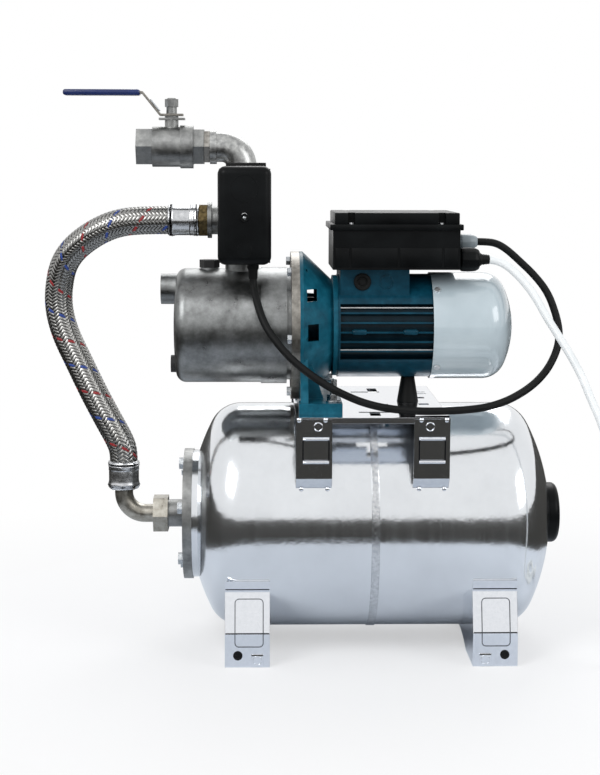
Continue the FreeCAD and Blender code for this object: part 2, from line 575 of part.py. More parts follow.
# Pump casing: drawn barrel with a dished end, a clamped rim and three ports
def pump_casing():
    knee, apex = dome("0", "casing_radius", "casing_knuckle", "casing_depth", "casing_crown")
    inner, inner_apex = dome("0", "casing_radius", "casing_knuckle", "casing_depth", "casing_crown",
                             "casing_wall")
    rim_x = "face_x - seal_plate_thick"
    outline = [
        (rim_x, "neck_radius - casing_wall"), (rim_x, "rim_radius"), (rim_x + " - rim_thick", "rim_radius"),
        (rim_x + " - rim_thick", "neck_radius"), ("neck_x", "neck_radius"), ("neck_x", "band_radius"),
        ("band_x", "band_radius"), ("band_x", "casing_radius"), ("barrel_x", "casing_radius"),
        ("barrel_x - (%s)" % knee[0], knee[1], "casing_knuckle"),
        ("barrel_x - (%s)" % apex[0], "0", "casing_crown"),
        ("barrel_x - (%s)" % inner_apex[0], "0"),
        ("barrel_x - (%s)" % inner[0], inner[1], "-(casing_crown - casing_wall)"),
        ("barrel_x", "casing_radius - casing_wall", "-(casing_knuckle - casing_wall)"),
        ("band_x - casing_wall", "casing_radius - casing_wall"),
        ("band_x - casing_wall", "casing_radius - casing_wall + 0.5"),
        ("neck_x - casing_wall", "casing_radius - casing_wall + 0.5"),
        ("neck_x - casing_wall", "neck_radius - casing_wall"),
    ]
    shell = turned(outline, ("0", "0", "pump_z"))
    suction = rod("suction_outer", "suction_out + 6", ("suction_end", "0", "pump_z + suction_up"))
    suction_bore = rod("port_radius", "suction_out + 12", ("suction_end - 1", "0", "pump_z + suction_up"))
    boss = rod("boss_radius", "boss_height - casing_radius + 8",
               ("riser_x", "0", "pump_z + casing_radius - 8"), "Z")
    boss_bore = rod("port_radius", "boss_height - casing_radius + 20",
                    ("riser_x", "0", "pump_z + casing_radius - 18"), "Z")
    fill_boss = rod("plug_thread + 5", "6", ("fill_x", "0", "pump_z + casing_radius - 5"), "Z")
    fill_bore = rod("plug_thread + thread_fit", "20", ("fill_x", "0", "pump_z + casing_radius - 15"), "Z")
    drain_bore = rod("plug_thread + thread_fit", "20", ("drain_x - 8", "0", "pump_z - drain_down"))
    half_wall = "(casing_wall / 2)"
    middle, tip = dome("0", "casing_radius", "casing_knuckle", "casing_depth", "casing_crown", half_wall)
    inside = [turned([
        ("neck_x", "0"), ("neck_x", "casing_radius - " + half_wall), ("barrel_x", "casing_radius - " + half_wall),
        ("barrel_x - (%s)" % middle[0], middle[1], "casing_knuckle - " + half_wall),
        ("barrel_x - (%s)" % tip[0], "0", "casing_crown - " + half_wall),
    ], ("0", "0", "pump_z")) for _ in range(3)]
    ports = [cut(port, core) for port, core in zip((suction, boss, fill_boss), inside)]
    node("pump_casing", cut(fuse(shell, *ports), suction_bore, boss_bore, fill_bore, drain_bore))
    fill_plug = fuse(hexagon("plug_across", "plug_head", ("fill_x", "0", "pump_z + casing_radius + 1"), "Z"),
                     rod("plug_thread", "9", ("fill_x", "0", "pump_z + casing_radius - 8 + 1.5"), "Z"))
    low = ("drain_x - drain_head", "0", "pump_z - drain_down")
    end_skin = ball("casing_crown + thread_fit", ("casing_end + casing_crown", "0", "pump_z"))
    drain_plug = fuse(cut(rod("drain_radius", "drain_head + 3", low), end_skin),
                      rod("plug_thread", "drain_head + 8", low))
    node("casing_plugs", group(fill_plug, drain_plug))

    bolts = bolt_places("casing_pcd_radius", "casing_bolt_turn", 6)
    back = "face_x - seal_plate_thick - rim_thick"
    ring = turned([
        (back + " - ring_thick", "neck_radius + 1"), (back + " - ring_thick", "clamp_radius"),
        ("face_x", "clamp_radius"), ("face_x", "rim_radius + running_gap"), (back, "rim_radius + running_gap"),
        (back, "neck_radius + 1"),
    ], ("0", "0", "pump_z"))
    node("casing_flange_ring", cut(ring, *[
        rod("casing_bolt_radius + running_gap", "30", (back + " - ring_thick - 5", y, "pump_z + " + z))
        for y, z in bolts]))
    node("casing_bolts", group(*[
        fuse(hexagon("casing_bolt_across", "casing_bolt_head",
                     (back + " - ring_thick - casing_bolt_head", y, "pump_z + " + z)),
             rod("casing_bolt_radius", "ring_thick + rim_thick + seal_plate_thick + bracket_wall - 1",
                 (back + " - ring_thick", y, "pump_z + " + z))) for y, z in bolts]))
    node("seal_plate", turned([
        ("face_x - seal_plate_thick", "seal_radius"), ("face_x - seal_plate_thick", "rim_radius"),
        ("face_x", "rim_radius"), ("face_x", "seal_radius")], ("0", "0", "pump_z")))


# Jet, diffuser and impeller inside the casing
def pump_works():
    jet_x = "diffuser_x - ejector_length"
    jet_z = "pump_z + suction_up"
    node("ejector", turned([
        (jet_x, "ejector_radius - 3"), (jet_x, "ejector_radius"), ("diffuser_x", "ejector_radius"),
        ("diffuser_x", "ejector_radius - 3"), (jet_x + " + ejector_length * 0.5", "nozzle_radius"),
        (jet_x + " + ejector_length * 0.2", "nozzle_radius"),
    ], ("0", "0", jet_z)))
    disc = turned([
        ("diffuser_x", "0"), ("diffuser_x", "diffuser_radius"),
        ("face_x - seal_plate_thick", "diffuser_radius"),
        ("face_x - seal_plate_thick", "diffuser_radius - diffuser_thick"),
        ("diffuser_x + diffuser_thick", "diffuser_radius - diffuser_thick"),
        ("diffuser_x + diffuser_thick", "0")], ("0", "0", "pump_z"))
    node("diffuser", cut(disc, rod("ejector_radius - 3", "diffuser_thick * 3",
                                   ("diffuser_x - diffuser_thick", "0", jet_z))))
    hub = turned([
        ("impeller_x", "end_shaft + 0.02"), ("impeller_x", "impeller_radius * 0.45"),
        ("impeller_x + impeller_width * 0.4", "impeller_radius * 0.45"),
        ("impeller_x + impeller_width * 0.4", "impeller_radius"),
        ("impeller_x + impeller_width", "impeller_radius"), ("impeller_x + impeller_width", "end_shaft + 0.02"),
    ], ("0", "0", "pump_z"))
    vanes = [blade("impeller_x + impeller_width * 0.1", "impeller_width * 0.4", "impeller_radius * 0.4",
                   "impeller_radius * 0.94", 60 * index) for index in range(6)]
    node("impeller", fuse(hub, *vanes))
    seal = turned([
        ("face_x - seal_plate_thick - seal_length", "seal_shaft + shaft_fit"),
        ("face_x - seal_plate_thick - seal_length", "seal_radius - 4"),
        ("face_x - seal_plate_thick - 6", "seal_radius - 4"), ("face_x - seal_plate_thick - 6", "seal_radius + 2"),
        ("face_x - seal_plate_thick", "seal_radius + 2"), ("face_x - seal_plate_thick", "seal_radius - 0.1"),
        ("face_x", "seal_radius - 0.1"), ("face_x", "seal_shaft + shaft_fit")], ("0", "0", "pump_z"))
    o_ring = doc.addObject("Part::Torus", "o_ring")
    bind(o_ring, Radius1="neck_radius - casing_wall - o_ring - 0.2", Radius2="o_ring")
    place(o_ring, ("face_x - seal_plate_thick - o_ring - 0.1", "0", "pump_z"), AIMS["X"])
    node("pump_seals", group(seal, o_ring))


def blade(low_x, length, start_radius, end_radius, angle):
    """A flat vane that stands out from the pump's axis."""
    thing = doc.addObject("Part::Box", "blade")
    bind(thing, Length=length, Width="%s - %s" % (end_radius, start_radius), Height="blade_thick")
    centre = FreeCAD.Rotation(V(1, 0, 0), angle)
    thing.Placement = FreeCAD.Placement(V(), centre)
    out_y, out_z = math.cos(math.radians(angle)), math.sin(math.radians(angle))
    bind(thing, **{
        "Placement.Base.x": low_x,
        "Placement.Base.y": "(%s) * %.6f + blade_thick / 2 * %.6f" % (start_radius, out_y, out_z),
        "Placement.Base.z": "pump_z + (%s) * %.6f - blade_thick / 2 * %.6f" % (start_radius, out_z, out_y)})
    return thing


# Motor bracket: flange, ribbed cone with windows, bearing seat and a wide foot
def motor_bracket():
    outer = turned([
        ("face_x", "seal_radius + 6"), ("face_x", "clamp_radius"), ("face_x + bracket_wall - 2", "clamp_radius"),
        ("motor_x - bracket_wall", "bracket_end_radius - 6"), ("motor_x - bracket_wall", "bracket_end_radius"),
        ("motor_x", "bracket_end_radius"), ("motor_x", "bearing_outer + shaft_fit"),
        ("bearing_x - 2", "bearing_outer + shaft_fit"), ("bearing_x - 2", "bearing_outer + 6"),
        ("motor_x - bracket_wall", "bearing_outer + 6"),
        ("motor_x - bracket_wall", "bracket_end_radius - 12"),
        ("face_x + bracket_wall", "clamp_radius - 12"), ("face_x + bracket_wall", "seal_radius + 6"),
    ], ("0", "0", "pump_z"))
    slab = block(("face_x - 2", "-bracket_foot_half", "plate_top"),
                 ("bracket_foot_length", "bracket_foot_half * 2", "bracket_foot_thick"))
    web = sheeted([
        ("-bracket_foot_half + 2", "plate_top"), ("bracket_foot_half - 2", "plate_top"),
        ("bracket_foot_half - 2", "plate_top + bracket_foot_thick"),
        ("bracket_end_radius + 16", "pump_z - 30"), ("-bracket_end_radius - 16", "pump_z - 30"),
        ("-bracket_foot_half + 2", "plate_top + bracket_foot_thick"),
    ], "bracket_web", ("face_x + 0", "0", "0"), "side")
    ribs = [sheeted([
        ("face_x + 2", "plate_top + bracket_foot_thick - 1"),
        ("foot_bolt_x - 10", "plate_top + bracket_foot_thick - 1"), ("face_x + 14", "pump_z - 40"),
        ("face_x + 2", "pump_z - 40")], "bracket_wall", ("0", y, "0"), "front")
        for y in ("-66", "66 + bracket_wall")]
    half = "window_size / 2"
    windows = [block(("face_x + bracket_wall + 3", "-clamp_radius - 1", "pump_z - 2 - " + half),
                     ("window_size * 0.65", "(clamp_radius + 1) * 2", "window_size")),
               block(("face_x + bracket_wall + 2", "-clamp_radius - 1", "pump_z + 34"),
                     ("window_size * 0.6", "(clamp_radius + 1) * 2", "window_size * 0.7"))]
    hollow = turned([
        ("face_x + bracket_wall", "0"), ("face_x + bracket_wall", "clamp_radius - 12"),
        ("motor_x - bracket_wall", "bracket_end_radius - 12"), ("motor_x - bracket_wall", "0")],
        ("0", "0", "pump_z"))
    seal_bore = rod("seal_radius + 6", "bracket_wall + 4", ("face_x - 1", "0", "pump_z"))
    under = block(("face_x - 3", "-clamp_radius", "plate_top - 1"), ("3", "clamp_radius * 2", "300"))
    bolt_holes = [rod("bolt_radius + running_gap", "bracket_foot_thick + 2",
                      ("foot_bolt_x", way + "foot_bolt_half", "plate_top - 1"), "Z") for way in ("-", "")]
    threads = [rod("casing_bolt_radius + thread_fit", "bracket_wall + 4", ("face_x - 1", y, "pump_z + " + z))
               for y, z in bolt_places("casing_pcd_radius", "casing_bolt_turn", 6)]
    hub = common(outer, rod("bearing_outer + 6", "bearing_width + 4", ("bearing_x - 3", "0", "pump_z")))
    foot_part = cut(fuse(slab, web, *ribs), hollow, seal_bore, under)
    rods = [rod("rod_radius + running_gap", "bracket_wall + 4", ("motor_x - bracket_wall - 2", y, z))
            for y, z in rod_places()]
    return cut(fuse(outer, foot_part, hub), *windows, *bolt_holes, *threads, *rods)


def rod_places():
    """Y and Z of the four tie rods along the motor body."""
    half = "sqrt(rod_reach^2 - rod_up^2)"
    return [(way + half, "pump_z %s rod_up" % up) for way in ("-", "") for up in ("+", "-")]


# Motor: finned body, stator, rotor, end shield, fan and cover
def motor():
    barrel = rod("motor_radius", "motor_length", ("motor_x", "0", "pump_z"))
    grooves = []
    for gap in range(6):
        low = "pump_z + fin_top - fin_pitch * %d + fin_thick / 2" % (gap + 1)
        grooves.append(block(("motor_x + 2", "-motor_radius - 1", low),
                             ("motor_length - 4", "(motor_radius + 1) * 2", "fin_pitch - fin_thick")))
    grooves = cut(fuse(*grooves), rod("fin_root", "motor_length", ("motor_x", "0", "pump_z")))
    pad = block(("motor_x + 2", "-pad_half", "pump_z + fin_top + fin_thick / 2"),
                ("pad_length", "pad_half * 2", "pad_height - fin_top - fin_thick / 2"))
    bore = rod("motor_bore", "motor_length + 2", ("motor_x - 1", "0", "pump_z"))
    rods = [rod("rod_radius + running_gap", "motor_length + 2", ("motor_x - 1", y, z)) for y, z in rod_places()]
    foot_screw = rod("rubber_shank + thread_fit", "10", ("rubber_x", "0", "pump_z - motor_radius - 1"), "Z")
    wire_hole = rod("10", "pad_height", ("motor_x + 40", "0", "pump_z"), "Z")
    node("motor_body", cut(fuse(cut(barrel, grooves), pad), bore, wire_hole, foot_screw, *rods))

    slot = rod("rotor_radius", "stator_length", ("rotor_x", "0", "pump_z"))
    core = cut(slot, rod("core_shaft + 0.02", "stator_length + 2", ("rotor_x - 1", "0", "pump_z")))
    node("rotor_core", core)
    node("stator", turned([
        ("rotor_x", "stator_inner"), ("rotor_x", "stator_inner + 3"),
        ("rotor_x - winding_reach", "stator_inner + 3"), ("rotor_x - winding_reach", "motor_bore - 4"),
        ("rotor_x", "motor_bore - 4"), ("rotor_x", "motor_bore - 0.1"),
        ("rotor_x + stator_length", "motor_bore - 0.1"), ("rotor_x + stator_length", "motor_bore - 4"),
        ("rotor_x + stator_length + winding_reach", "motor_bore - 4"),
        ("rotor_x + stator_length + winding_reach", "stator_inner + 3"),
        ("rotor_x + stator_length", "stator_inner + 3"), ("rotor_x + stator_length", "stator_inner")],
        ("0", "0", "pump_z")))
    node("motor_shaft", turned([
        ("impeller_x - 2", "0"), ("impeller_x - 2", "end_shaft"), ("impeller_x + impeller_width", "end_shaft"),
        ("impeller_x + impeller_width", "seal_shaft"), ("bearing_x - 0.5", "seal_shaft"),
        ("bearing_x - 0.5", "bearing_shaft"), ("motor_x + 0.5", "bearing_shaft"), ("motor_x + 0.5", "core_shaft"),
        ("rear_bearing_x - 0.5", "core_shaft"), ("rear_bearing_x - 0.5", "bearing_shaft"),
        ("rear_bearing_x + bearing_width", "bearing_shaft"), ("rear_bearing_x + bearing_width", "end_shaft"),
        ("fan_x + fan_width + 2", "end_shaft"), ("fan_x + fan_width + 2", "0")], ("0", "0", "pump_z")))
    node("bearings", group(*[turned([
        (x, "bearing_shaft + shaft_fit"), (x, "bearing_outer"), (x + " + bearing_width", "bearing_outer"),
        (x + " + bearing_width", "bearing_shaft + shaft_fit")], ("0", "0", "pump_z"))
        for x in ("bearing_x", "rear_bearing_x")]))
    shield = turned([
        ("motor_end", "bearing_outer + shaft_fit"), ("motor_end", "shield_radius"),
        ("motor_end + shield_thick", "shield_radius"), ("motor_end + shield_thick", "bearing_outer + 6"),
        ("rear_bearing_x + bearing_width + 1", "bearing_outer + 6"),
        ("rear_bearing_x + bearing_width + 1", "bearing_outer + shaft_fit")], ("0", "0", "pump_z"))
    lugs = [rod("4", "shield_thick", ("motor_end", y, z)) for y, z in rod_places()]
    rod_holes = [rod("rod_radius + running_gap", "shield_thick + 2", ("motor_end - 1", y, z))
                 for y, z in rod_places()]
    skin = rod("cover_radius - cover_wall - running_gap", "shield_thick", ("motor_end", "0", "pump_z"))
    rod_holes += [radial(rod("screw_radius + thread_fit", "14", ("0", "0", "0")), y, z, "cover_radius - 10")
                  for y, z in cover_screw_places()]
    node("rear_end_shield", cut(fuse(shield, common(fuse(*lugs), skin)), *rod_holes))
    node("tie_rods", group(*[
        fuse(rod("rod_radius", "motor_length + bracket_wall + shield_thick + 2",
                 ("motor_x - bracket_wall", y, z)),
             rod("rod_radius + 1", "2.4", ("motor_end + shield_thick + 0.1", y, z))) for y, z in rod_places()]))
    hub = cut(rod("fan_hub", "fan_width", ("fan_x", "0", "pump_z")),
              rod("end_shaft + 0.02", "fan_width + 2", ("fan_x - 1", "0", "pump_z")))
    disc = cut(rod("fan_radius", "2", ("fan_x", "0", "pump_z")),
               rod("fan_hub - 1", "4", ("fan_x - 1", "0", "pump_z")))
    blades = [blade("fan_x", "fan_width - 1", "fan_hub - 2", "fan_radius", 360 / 7 * index)
              for index in range(7)]
    node("cooling_fan", fuse(hub, disc, *blades))


def fan_cover():
    shape = ("cover_radius", "cover_knuckle", "cover_depth", "cover_crown")
    knee, apex = dome("cover_x + cover_barrel", *shape)
    inner, inner_apex = dome("cover_x + cover_barrel", *shape, inset="cover_wall")
    shell = turned([
        ("cover_x", "cover_radius - cover_wall"), ("cover_x", "cover_radius"),
        ("cover_x + cover_barrel", "cover_radius"), knee + ("-cover_knuckle",), apex + ("-cover_crown",),
        inner_apex, inner + ("cover_crown - cover_wall",),
        ("cover_x + cover_barrel", "cover_radius - cover_wall", "cover_knuckle - cover_wall"),
    ], ("0", "0", "pump_z"))
    vents = [rod("vent_radius", "cover_depth", ("cover_end - 14", "%s * cos(%g)" % (ring, angle),
                                               "pump_z + %s * sin(%g)" % (ring, angle)))
             for ring, count in (("vent_ring", 16), ("vent_ring * 0.66", 11), ("vent_ring * 0.32", 5))
             for angle in [360 / count * index for index in range(count)]]
    screws = [screw_hole(y, z) for y, z in cover_screw_places()]
    node("fan_cover", cut(shell, *vents, *screws))


COVER_TURN = math.sqrt(0.5)


def cover_screw_places():
    return [(y, z) for y in (-COVER_TURN, COVER_TURN) for z in (-COVER_TURN, COVER_TURN)]


def radial(thing, y, z, start):
    """Stand a rod or cone out from the pump's axis, starting at a radius."""
    thing.Placement = FreeCAD.Placement(V(), FreeCAD.Rotation(V(0, 0, 1), V(0, y, z)))
    bind(thing, **{
        "Placement.Base.x": "cover_x + cover_screw_back",
        "Placement.Base.y": "%.6f * (%s)" % (y, start),
        "Placement.Base.z": "pump_z + %.6f * (%s)" % (z, start)})
    return thing


def screw_hole(y, z):
    return radial(rod("screw_radius + running_gap", "6", ("0", "0", "0")), y, z, "cover_radius - 4")


def cover_screw(y, z):
    shank = radial(rod("screw_radius", "9", ("0", "0", "0")), y, z, "cover_radius - 8.5")
    head = radial(rod("screw_head", "2", ("0", "0", "0")), y, z, "cover_radius + 0.1")
    return fuse(shank, head)


# Rubber foot under the motor and the bracket's foot bolts
def rests():
    height = "axis_height - motor_radius"
    body = cone("rubber_base", "rubber_top", height, ("rubber_x", "0", "plate_top"), "Z")
    hollow = rod("motor_radius", "60", ("rubber_x - 30", "0", "pump_z"))
    bore = rod("rubber_shank + thread_fit", height + " + 2", ("rubber_x", "0", "plate_top - 1"), "Z")
    node("rear_rubber_foot", cut(body, hollow, bore))
    screw = rod("rubber_shank", "sheet + %s + 4" % height, ("rubber_x", "0", "plate_under"), "Z")
    bolts = []
    for way in ("-", ""):
        spot = ("foot_bolt_x", way + "foot_bolt_half")
        bolts.append(fuse(
            hexagon("foot_nut_across", "bolt_head", spot + ("plate_under - bolt_head",), "Z"),
            rod("bolt_radius", "sheet + bracket_foot_thick + foot_bolt_above", spot + ("plate_under",), "Z")))
        bolts.append(cut(fuse(
            rod("bolt_radius * 2.2", "2", spot + ("plate_top + bracket_foot_thick",), "Z"),
            hexagon("foot_nut_across", "bolt_head + 1", spot + ("plate_top + bracket_foot_thick + 2",), "Z")),
            rod("bolt_radius + thread_fit", "20", spot + ("plate_top + bracket_foot_thick - 1",), "Z")))
    node("foot_bolts", group(screw, *bolts))


# Terminal box with lid, capacitor, terminal block and two cable glands
def terminal_box():
    outer = block(("box_x", "-box_half", "pad_z"), ("box_length", "box_half * 2", "box_height"))
    inner = block(("box_x + box_wall", "-box_half + box_wall", "pad_z + box_wall"),
                  ("box_length - box_wall * 2", "(box_half - box_wall) * 2", "box_height"))
    posts = [rod("screw_radius + 3", "box_height - 1", (x, y, "pad_z + 1"), "Z") for x, y in lid_screw_places()]
    threads = [rod("screw_radius + thread_fit", "box_height", (x, y, "pad_z + box_wall + 2"), "Z")
               for x, y in lid_screw_places()]
    grey_hole = rod("7 + thread_fit", "box_wall * 3", ("box_end - box_wall * 2", "-grey_gland_front", "grey_gland_z"))
    black_hole = rod("8 + thread_fit", "box_wall * 3",
                     ("box_end - box_wall * 2", "-black_gland_front", "black_gland_z"))
    wires = rod("10", "box_wall * 3", ("motor_x + 40", "0", "pad_z - box_wall"), "Z")
    node("terminal_box_base", cut(fuse(cut(outer, inner), *posts), *threads, grey_hole, black_hole, wires))
    lip = block(("box_x - lid_lip", "-box_half - lid_lip", "lid_low"),
                ("box_length + lid_lip * 2", "(box_half + lid_lip) * 2", "lip_height"))
    crown = block(("box_x - lid_lip + lid_inset", "-box_half - lid_lip + lid_inset", "lip_top"),
                  ("box_length + (lid_lip - lid_inset) * 2", "(box_half + lid_lip - lid_inset) * 2", "lid_height"))
    hollow = block(("box_x + box_wall", "-box_half + box_wall", "lid_low - 1"),
                   ("box_length - box_wall * 2", "(box_half - box_wall) * 2", "lip_height + lid_height - 1.5"))
    seat = block(("box_x - 0.2", "-box_half - 0.2", "lid_low - 1"),
                 ("box_length + 0.4", "box_half * 2 + 0.4", "lid_lap + 1"))
    lid_posts = [rod("screw_head + 2.5", "lip_top + lid_height - box_top - 1", (x, y, "box_top"), "Z")
                 for x, y in lid_screw_places()]
    bores = [rod("screw_radius + running_gap", "60", (x, y, "lid_low - 10"), "Z") for x, y in lid_screw_places()]
    wells = [rod("screw_head + running_gap", "30", (x, y, "lip_top"), "Z") for x, y in lid_screw_places()]
    node("terminal_box_lid", cut(fuse(cut(fuse(lip, crown), hollow, seat), *lid_posts), *bores, *wells))
    node("capacitor", rod("capacitor_radius", "capacitor_length",
                          ("box_x + 16", "box_half - box_wall - capacitor_radius - 10.5",
                           "pad_z + box_wall + capacitor_radius"), "X"))
    node("terminal_block", block(("motor_x + 56", "-44", "pad_z + box_wall"), ("block_length", "22", "18")))
    node("cable_gland_grey", gland("7", "grey_nut", "-grey_gland_front", "grey_gland_z"))
    node("cable_gland_black", gland("8", "black_nut", "-black_gland_front", "black_gland_z"))


def gland(thread, nut, y, z):
    """Thread through the wall, hexagon flange outside and a domed clamping nut."""
    return turned([
        ("box_end - box_wall - 6", "0"), ("box_end - box_wall - 6", thread), ("box_end", thread),
        ("box_end", nut), ("box_end + gland_flange", nut), ("box_end + gland_flange", nut + " - 1.2"),
        ("box_end + gland_flange + 2", nut + " - 1.2"), ("box_end + gland_flange + 2", nut),
        ("gland_end - 5", nut), ("gland_end", nut + " * 0.7"), ("gland_end", "0")], ("0", y, z))


def lid_screw_places():
    return [(x, y) for x in ("box_x + lid_screw_in", "box_end - lid_screw_in")
            for y in ("-box_half + 6", "box_half - 6")]


def cover_screws():
    parts = [cover_screw(y, z) for y, z in cover_screw_places()]
    for x, y in lid_screw_places():
        parts.append(fuse(rod("screw_radius", "screw_long", (x, y, "lip_top - screw_long"), "Z"),
                          rod("screw_head", "2.2", (x, y, "lip_top"), "Z")))
    parts.append(fuse(
        rod("screw_radius", "screw_long * 2", ("switch_x", "switch_front + 1.4", "switch_mid"), "Y"),
        rod("screw_head + 0.8", "2", ("switch_x", "switch_front - 0.6", "switch_mid"), "Y")))
    node("cover_screws", group(*parts))


# Pressure switch in front of the riser
def pressure_switch():
    half = "switch_width / 2"
    back_y = "-switch_back"
    split_y = "-(switch_back + switch_split)"
    low_x = "switch_x - " + half
    base = block((low_x + " + 1", split_y, "switch_low + 1"),
                 ("switch_width - 2", "switch_split", "switch_height - 2"))
    pocket = block((low_x + " + 5", split_y + " - 1", "switch_low + 5"),
                   ("switch_width - 10", "switch_split - switch_floor + 1", "switch_height - 10"))
    outlet = rod("switch_gland_radius", "switch_gland_drop + 2",
                 ("switch_x + switch_gland_right", "switch_outlet_y", "switch_low - switch_gland_drop"), "Z")
    port = rod("quarter_radius + thread_fit", "9", ("switch_x - switch_right", back_y + " - 8", "switch_port_z"), "Y")
    node("switch_base", cut(fuse(cut(base, pocket), outlet), port))
    corner = "switch_corner"

    def shell(grow, y, deep):
        across, tall = "%s - (%s)" % (half, grow), "switch_height - (%s)" % grow
        start, r = "(%s)" % grow, "(%s - %s)" % (corner, grow)
        return sheeted([
            ("-(%s) + %s" % (across, r), start, r), ("%s - %s" % (across, r), start),
            (across, "%s + %s" % (start, r), r), (across, "%s - %s" % (tall, r)),
            ("%s - %s" % (across, r), tall, r), ("-(%s) + %s" % (across, r), tall),
            ("-(%s)" % across, "%s - %s" % (tall, r), r), ("-(%s)" % across, "%s + %s" % (start, r)),
        ], deep, ("switch_x", y, "switch_low"), "front")
    outer = shell("0", split_y, "switch_depth - switch_split")
    inner = shell("switch_wall", split_y + " + 1", "switch_depth - switch_split - switch_wall + 1")
    screw = rod("screw_radius + running_gap", "8", ("switch_x", "switch_front - 1", "switch_mid"), "Y")
    sink = rod("screw_head + 1.2", "2.4", ("switch_x", "switch_front - 1", "switch_mid"), "Y")
    ridge = block((low_x + " + 8", split_y + " - 8", "switch_low + switch_height - 1"),
                  ("switch_width - 18", "6", "3"))
    node("switch_cover", cut(fuse(cut(outer, inner), ridge), screw, sink))
    floor_y = "-(switch_back + switch_floor)"
    deck = block((low_x + " + 8", floor_y + " - 14", "switch_mid - 8"),
                 ("switch_width - 16", "14", "6"))
    springs = [rod("spring_radius", tall, (x, floor_y + " - spring_radius - 1", "switch_mid - 3"), "Z")
               for x, tall in (("switch_x - 14", "spring_height"), ("switch_x + 14", "spring_height * 0.6"))]
    post = rod("4.5", "switch_depth - switch_floor - screw_long - 2",
               ("switch_x", "switch_front + screw_long + 2", "switch_mid"), "Y")
    node("switch_spring_set", cut(fuse(deck, post, *springs), rod(
        "screw_radius + thread_fit", "screw_long * 2 + 4", ("switch_x", "switch_front", "switch_mid"), "Y")))


# Five-way fitting, its nipples and plug
def riser():
    body = rod("fiveway_radius", "fiveway_height", ("riser_x", "0", "fiveway_z"), "Z")
    ends = [rod("collar_radius - 1.5", "collar_length + 4", ("riser_x", "0", z), "Z")
            for z in ("fiveway_z", "fiveway_top - collar_length - 4")]
    branch = [rod("fiveway_radius - 1", "fiveway_reach", ("riser_x", "0", "hose_z"), "-X"),
              rod("collar_radius", "collar_length", ("riser_x - fiveway_reach + collar_length", "0", "hose_z"), "-X")]
    quarter = [rod("quarter_radius + 4", "fiveway_radius + 5", ("riser_x", "0", "switch_port_z"), aim)
               for aim in ("Y", "-Y")]
    bores = [rod("port_radius - 2.5", "fiveway_height + 2", ("riser_x", "0", "fiveway_z - 1"), "Z"),
             rod("port_radius", "14", ("riser_x", "0", "fiveway_z - 1"), "Z"),
             rod("port_radius", "14", ("riser_x", "0", "fiveway_top - 13"), "Z"),
             rod("port_radius - 2.5", "fiveway_reach + 1", ("riser_x", "0", "hose_z"), "-X"),
             rod("port_radius", "14", ("riser_x - fiveway_reach + 13", "0", "hose_z"), "-X"),
             rod("quarter_radius + thread_fit", "fiveway_radius * 2 + 12",
                 ("riser_x", "-fiveway_radius - 6", "switch_port_z"), "Y")]
    node("five_way_fitting", cut(fuse(body, *ends, *branch, *quarter), *bores))

    tail = "port_radius - thread_fit"
    lower = nipple(("riser_x", "0", "boss_top"), "Z", "fiveway_low", tail)
    upper = nipple(("riser_x", "0", "fiveway_top"), "Z", "elbow_under - fiveway_top", tail)
    valve = nipple(("elbow_left", "0", "valve_z"), "-X", "valve_neck", tail)
    hose_end = nipple(("riser_x - fiveway_reach", "0", "hose_z"), "-X", "nipple_hex_length", tail)
    switch_end = cut(
        rod("quarter_radius", "switch_back - fiveway_radius + 10", ("riser_x", "-fiveway_radius + 4", "switch_port_z"), "-Y"),
        rod("quarter_radius - 2.5", "switch_back * 2", ("riser_x", "0", "switch_port_z"), "-Y"))
    node("pipe_nipples", group(lower, upper, valve, hose_end, switch_end))
    node("port_plug", fuse(hexagon("14", "6", ("riser_x", "fiveway_radius + 5", "switch_port_z"), "Y"),
                           rod("quarter_radius", "10", ("riser_x", "fiveway_radius - 4", "switch_port_z"), "Y")))


def nipple(at, aim, span, tail):
    """A hexagon between two faces with a threaded tail into each."""
    reach = "nipple_grip"
    back = {"Z": (at[0], at[1], "%s - %s" % (at[2], reach)), "-X": ("%s + %s" % (at[0], reach), at[1], at[2])}[aim]
    return cut(fuse(hexagon("nipple_hex", span, at, aim),
                    rod(tail, "%s + %s * 2" % (span, reach), back, aim)),
               rod("nipple_bore", "%s + %s * 4" % (span, reach), {
                   "Z": (at[0], at[1], "%s - %s * 2" % (at[2], reach)),
                   "-X": ("%s + %s * 2" % (at[0], reach), at[1], at[2])}[aim], aim))


# Elbow between the riser and the ball valve
def elbow():
    middle = ("riser_x - elbow_bend", "0", "valve_z - elbow_bend")

    def run(radius, more):
        return [quarter_bend("elbow_bend", radius, middle, STANDS["front"]),
                rod(radius, "elbow_reach - elbow_bend + " + more,
                    ("riser_x", "0", "elbow_under - (%s)" % more), "Z"),
                rod(radius, "elbow_reach - elbow_bend + " + more,
                    ("riser_x - elbow_bend", "0", "valve_z"), "-X")]
    collars = [rod("elbow_collar", "elbow_collar_length", ("riser_x", "0", "elbow_under"), "Z"),
               rod("elbow_collar", "elbow_collar_length", ("elbow_left", "0", "valve_z"), "X")]
    ports = [rod("port_radius", "12", ("riser_x", "0", "elbow_under - 1"), "Z"),
             rod("port_radius", "12", ("elbow_left - 1", "0", "valve_z"), "X")]
    node("elbow", cut(fuse(*run("elbow_radius", "0"), *collars), fuse(*run("elbow_bore", "1"), *ports)))


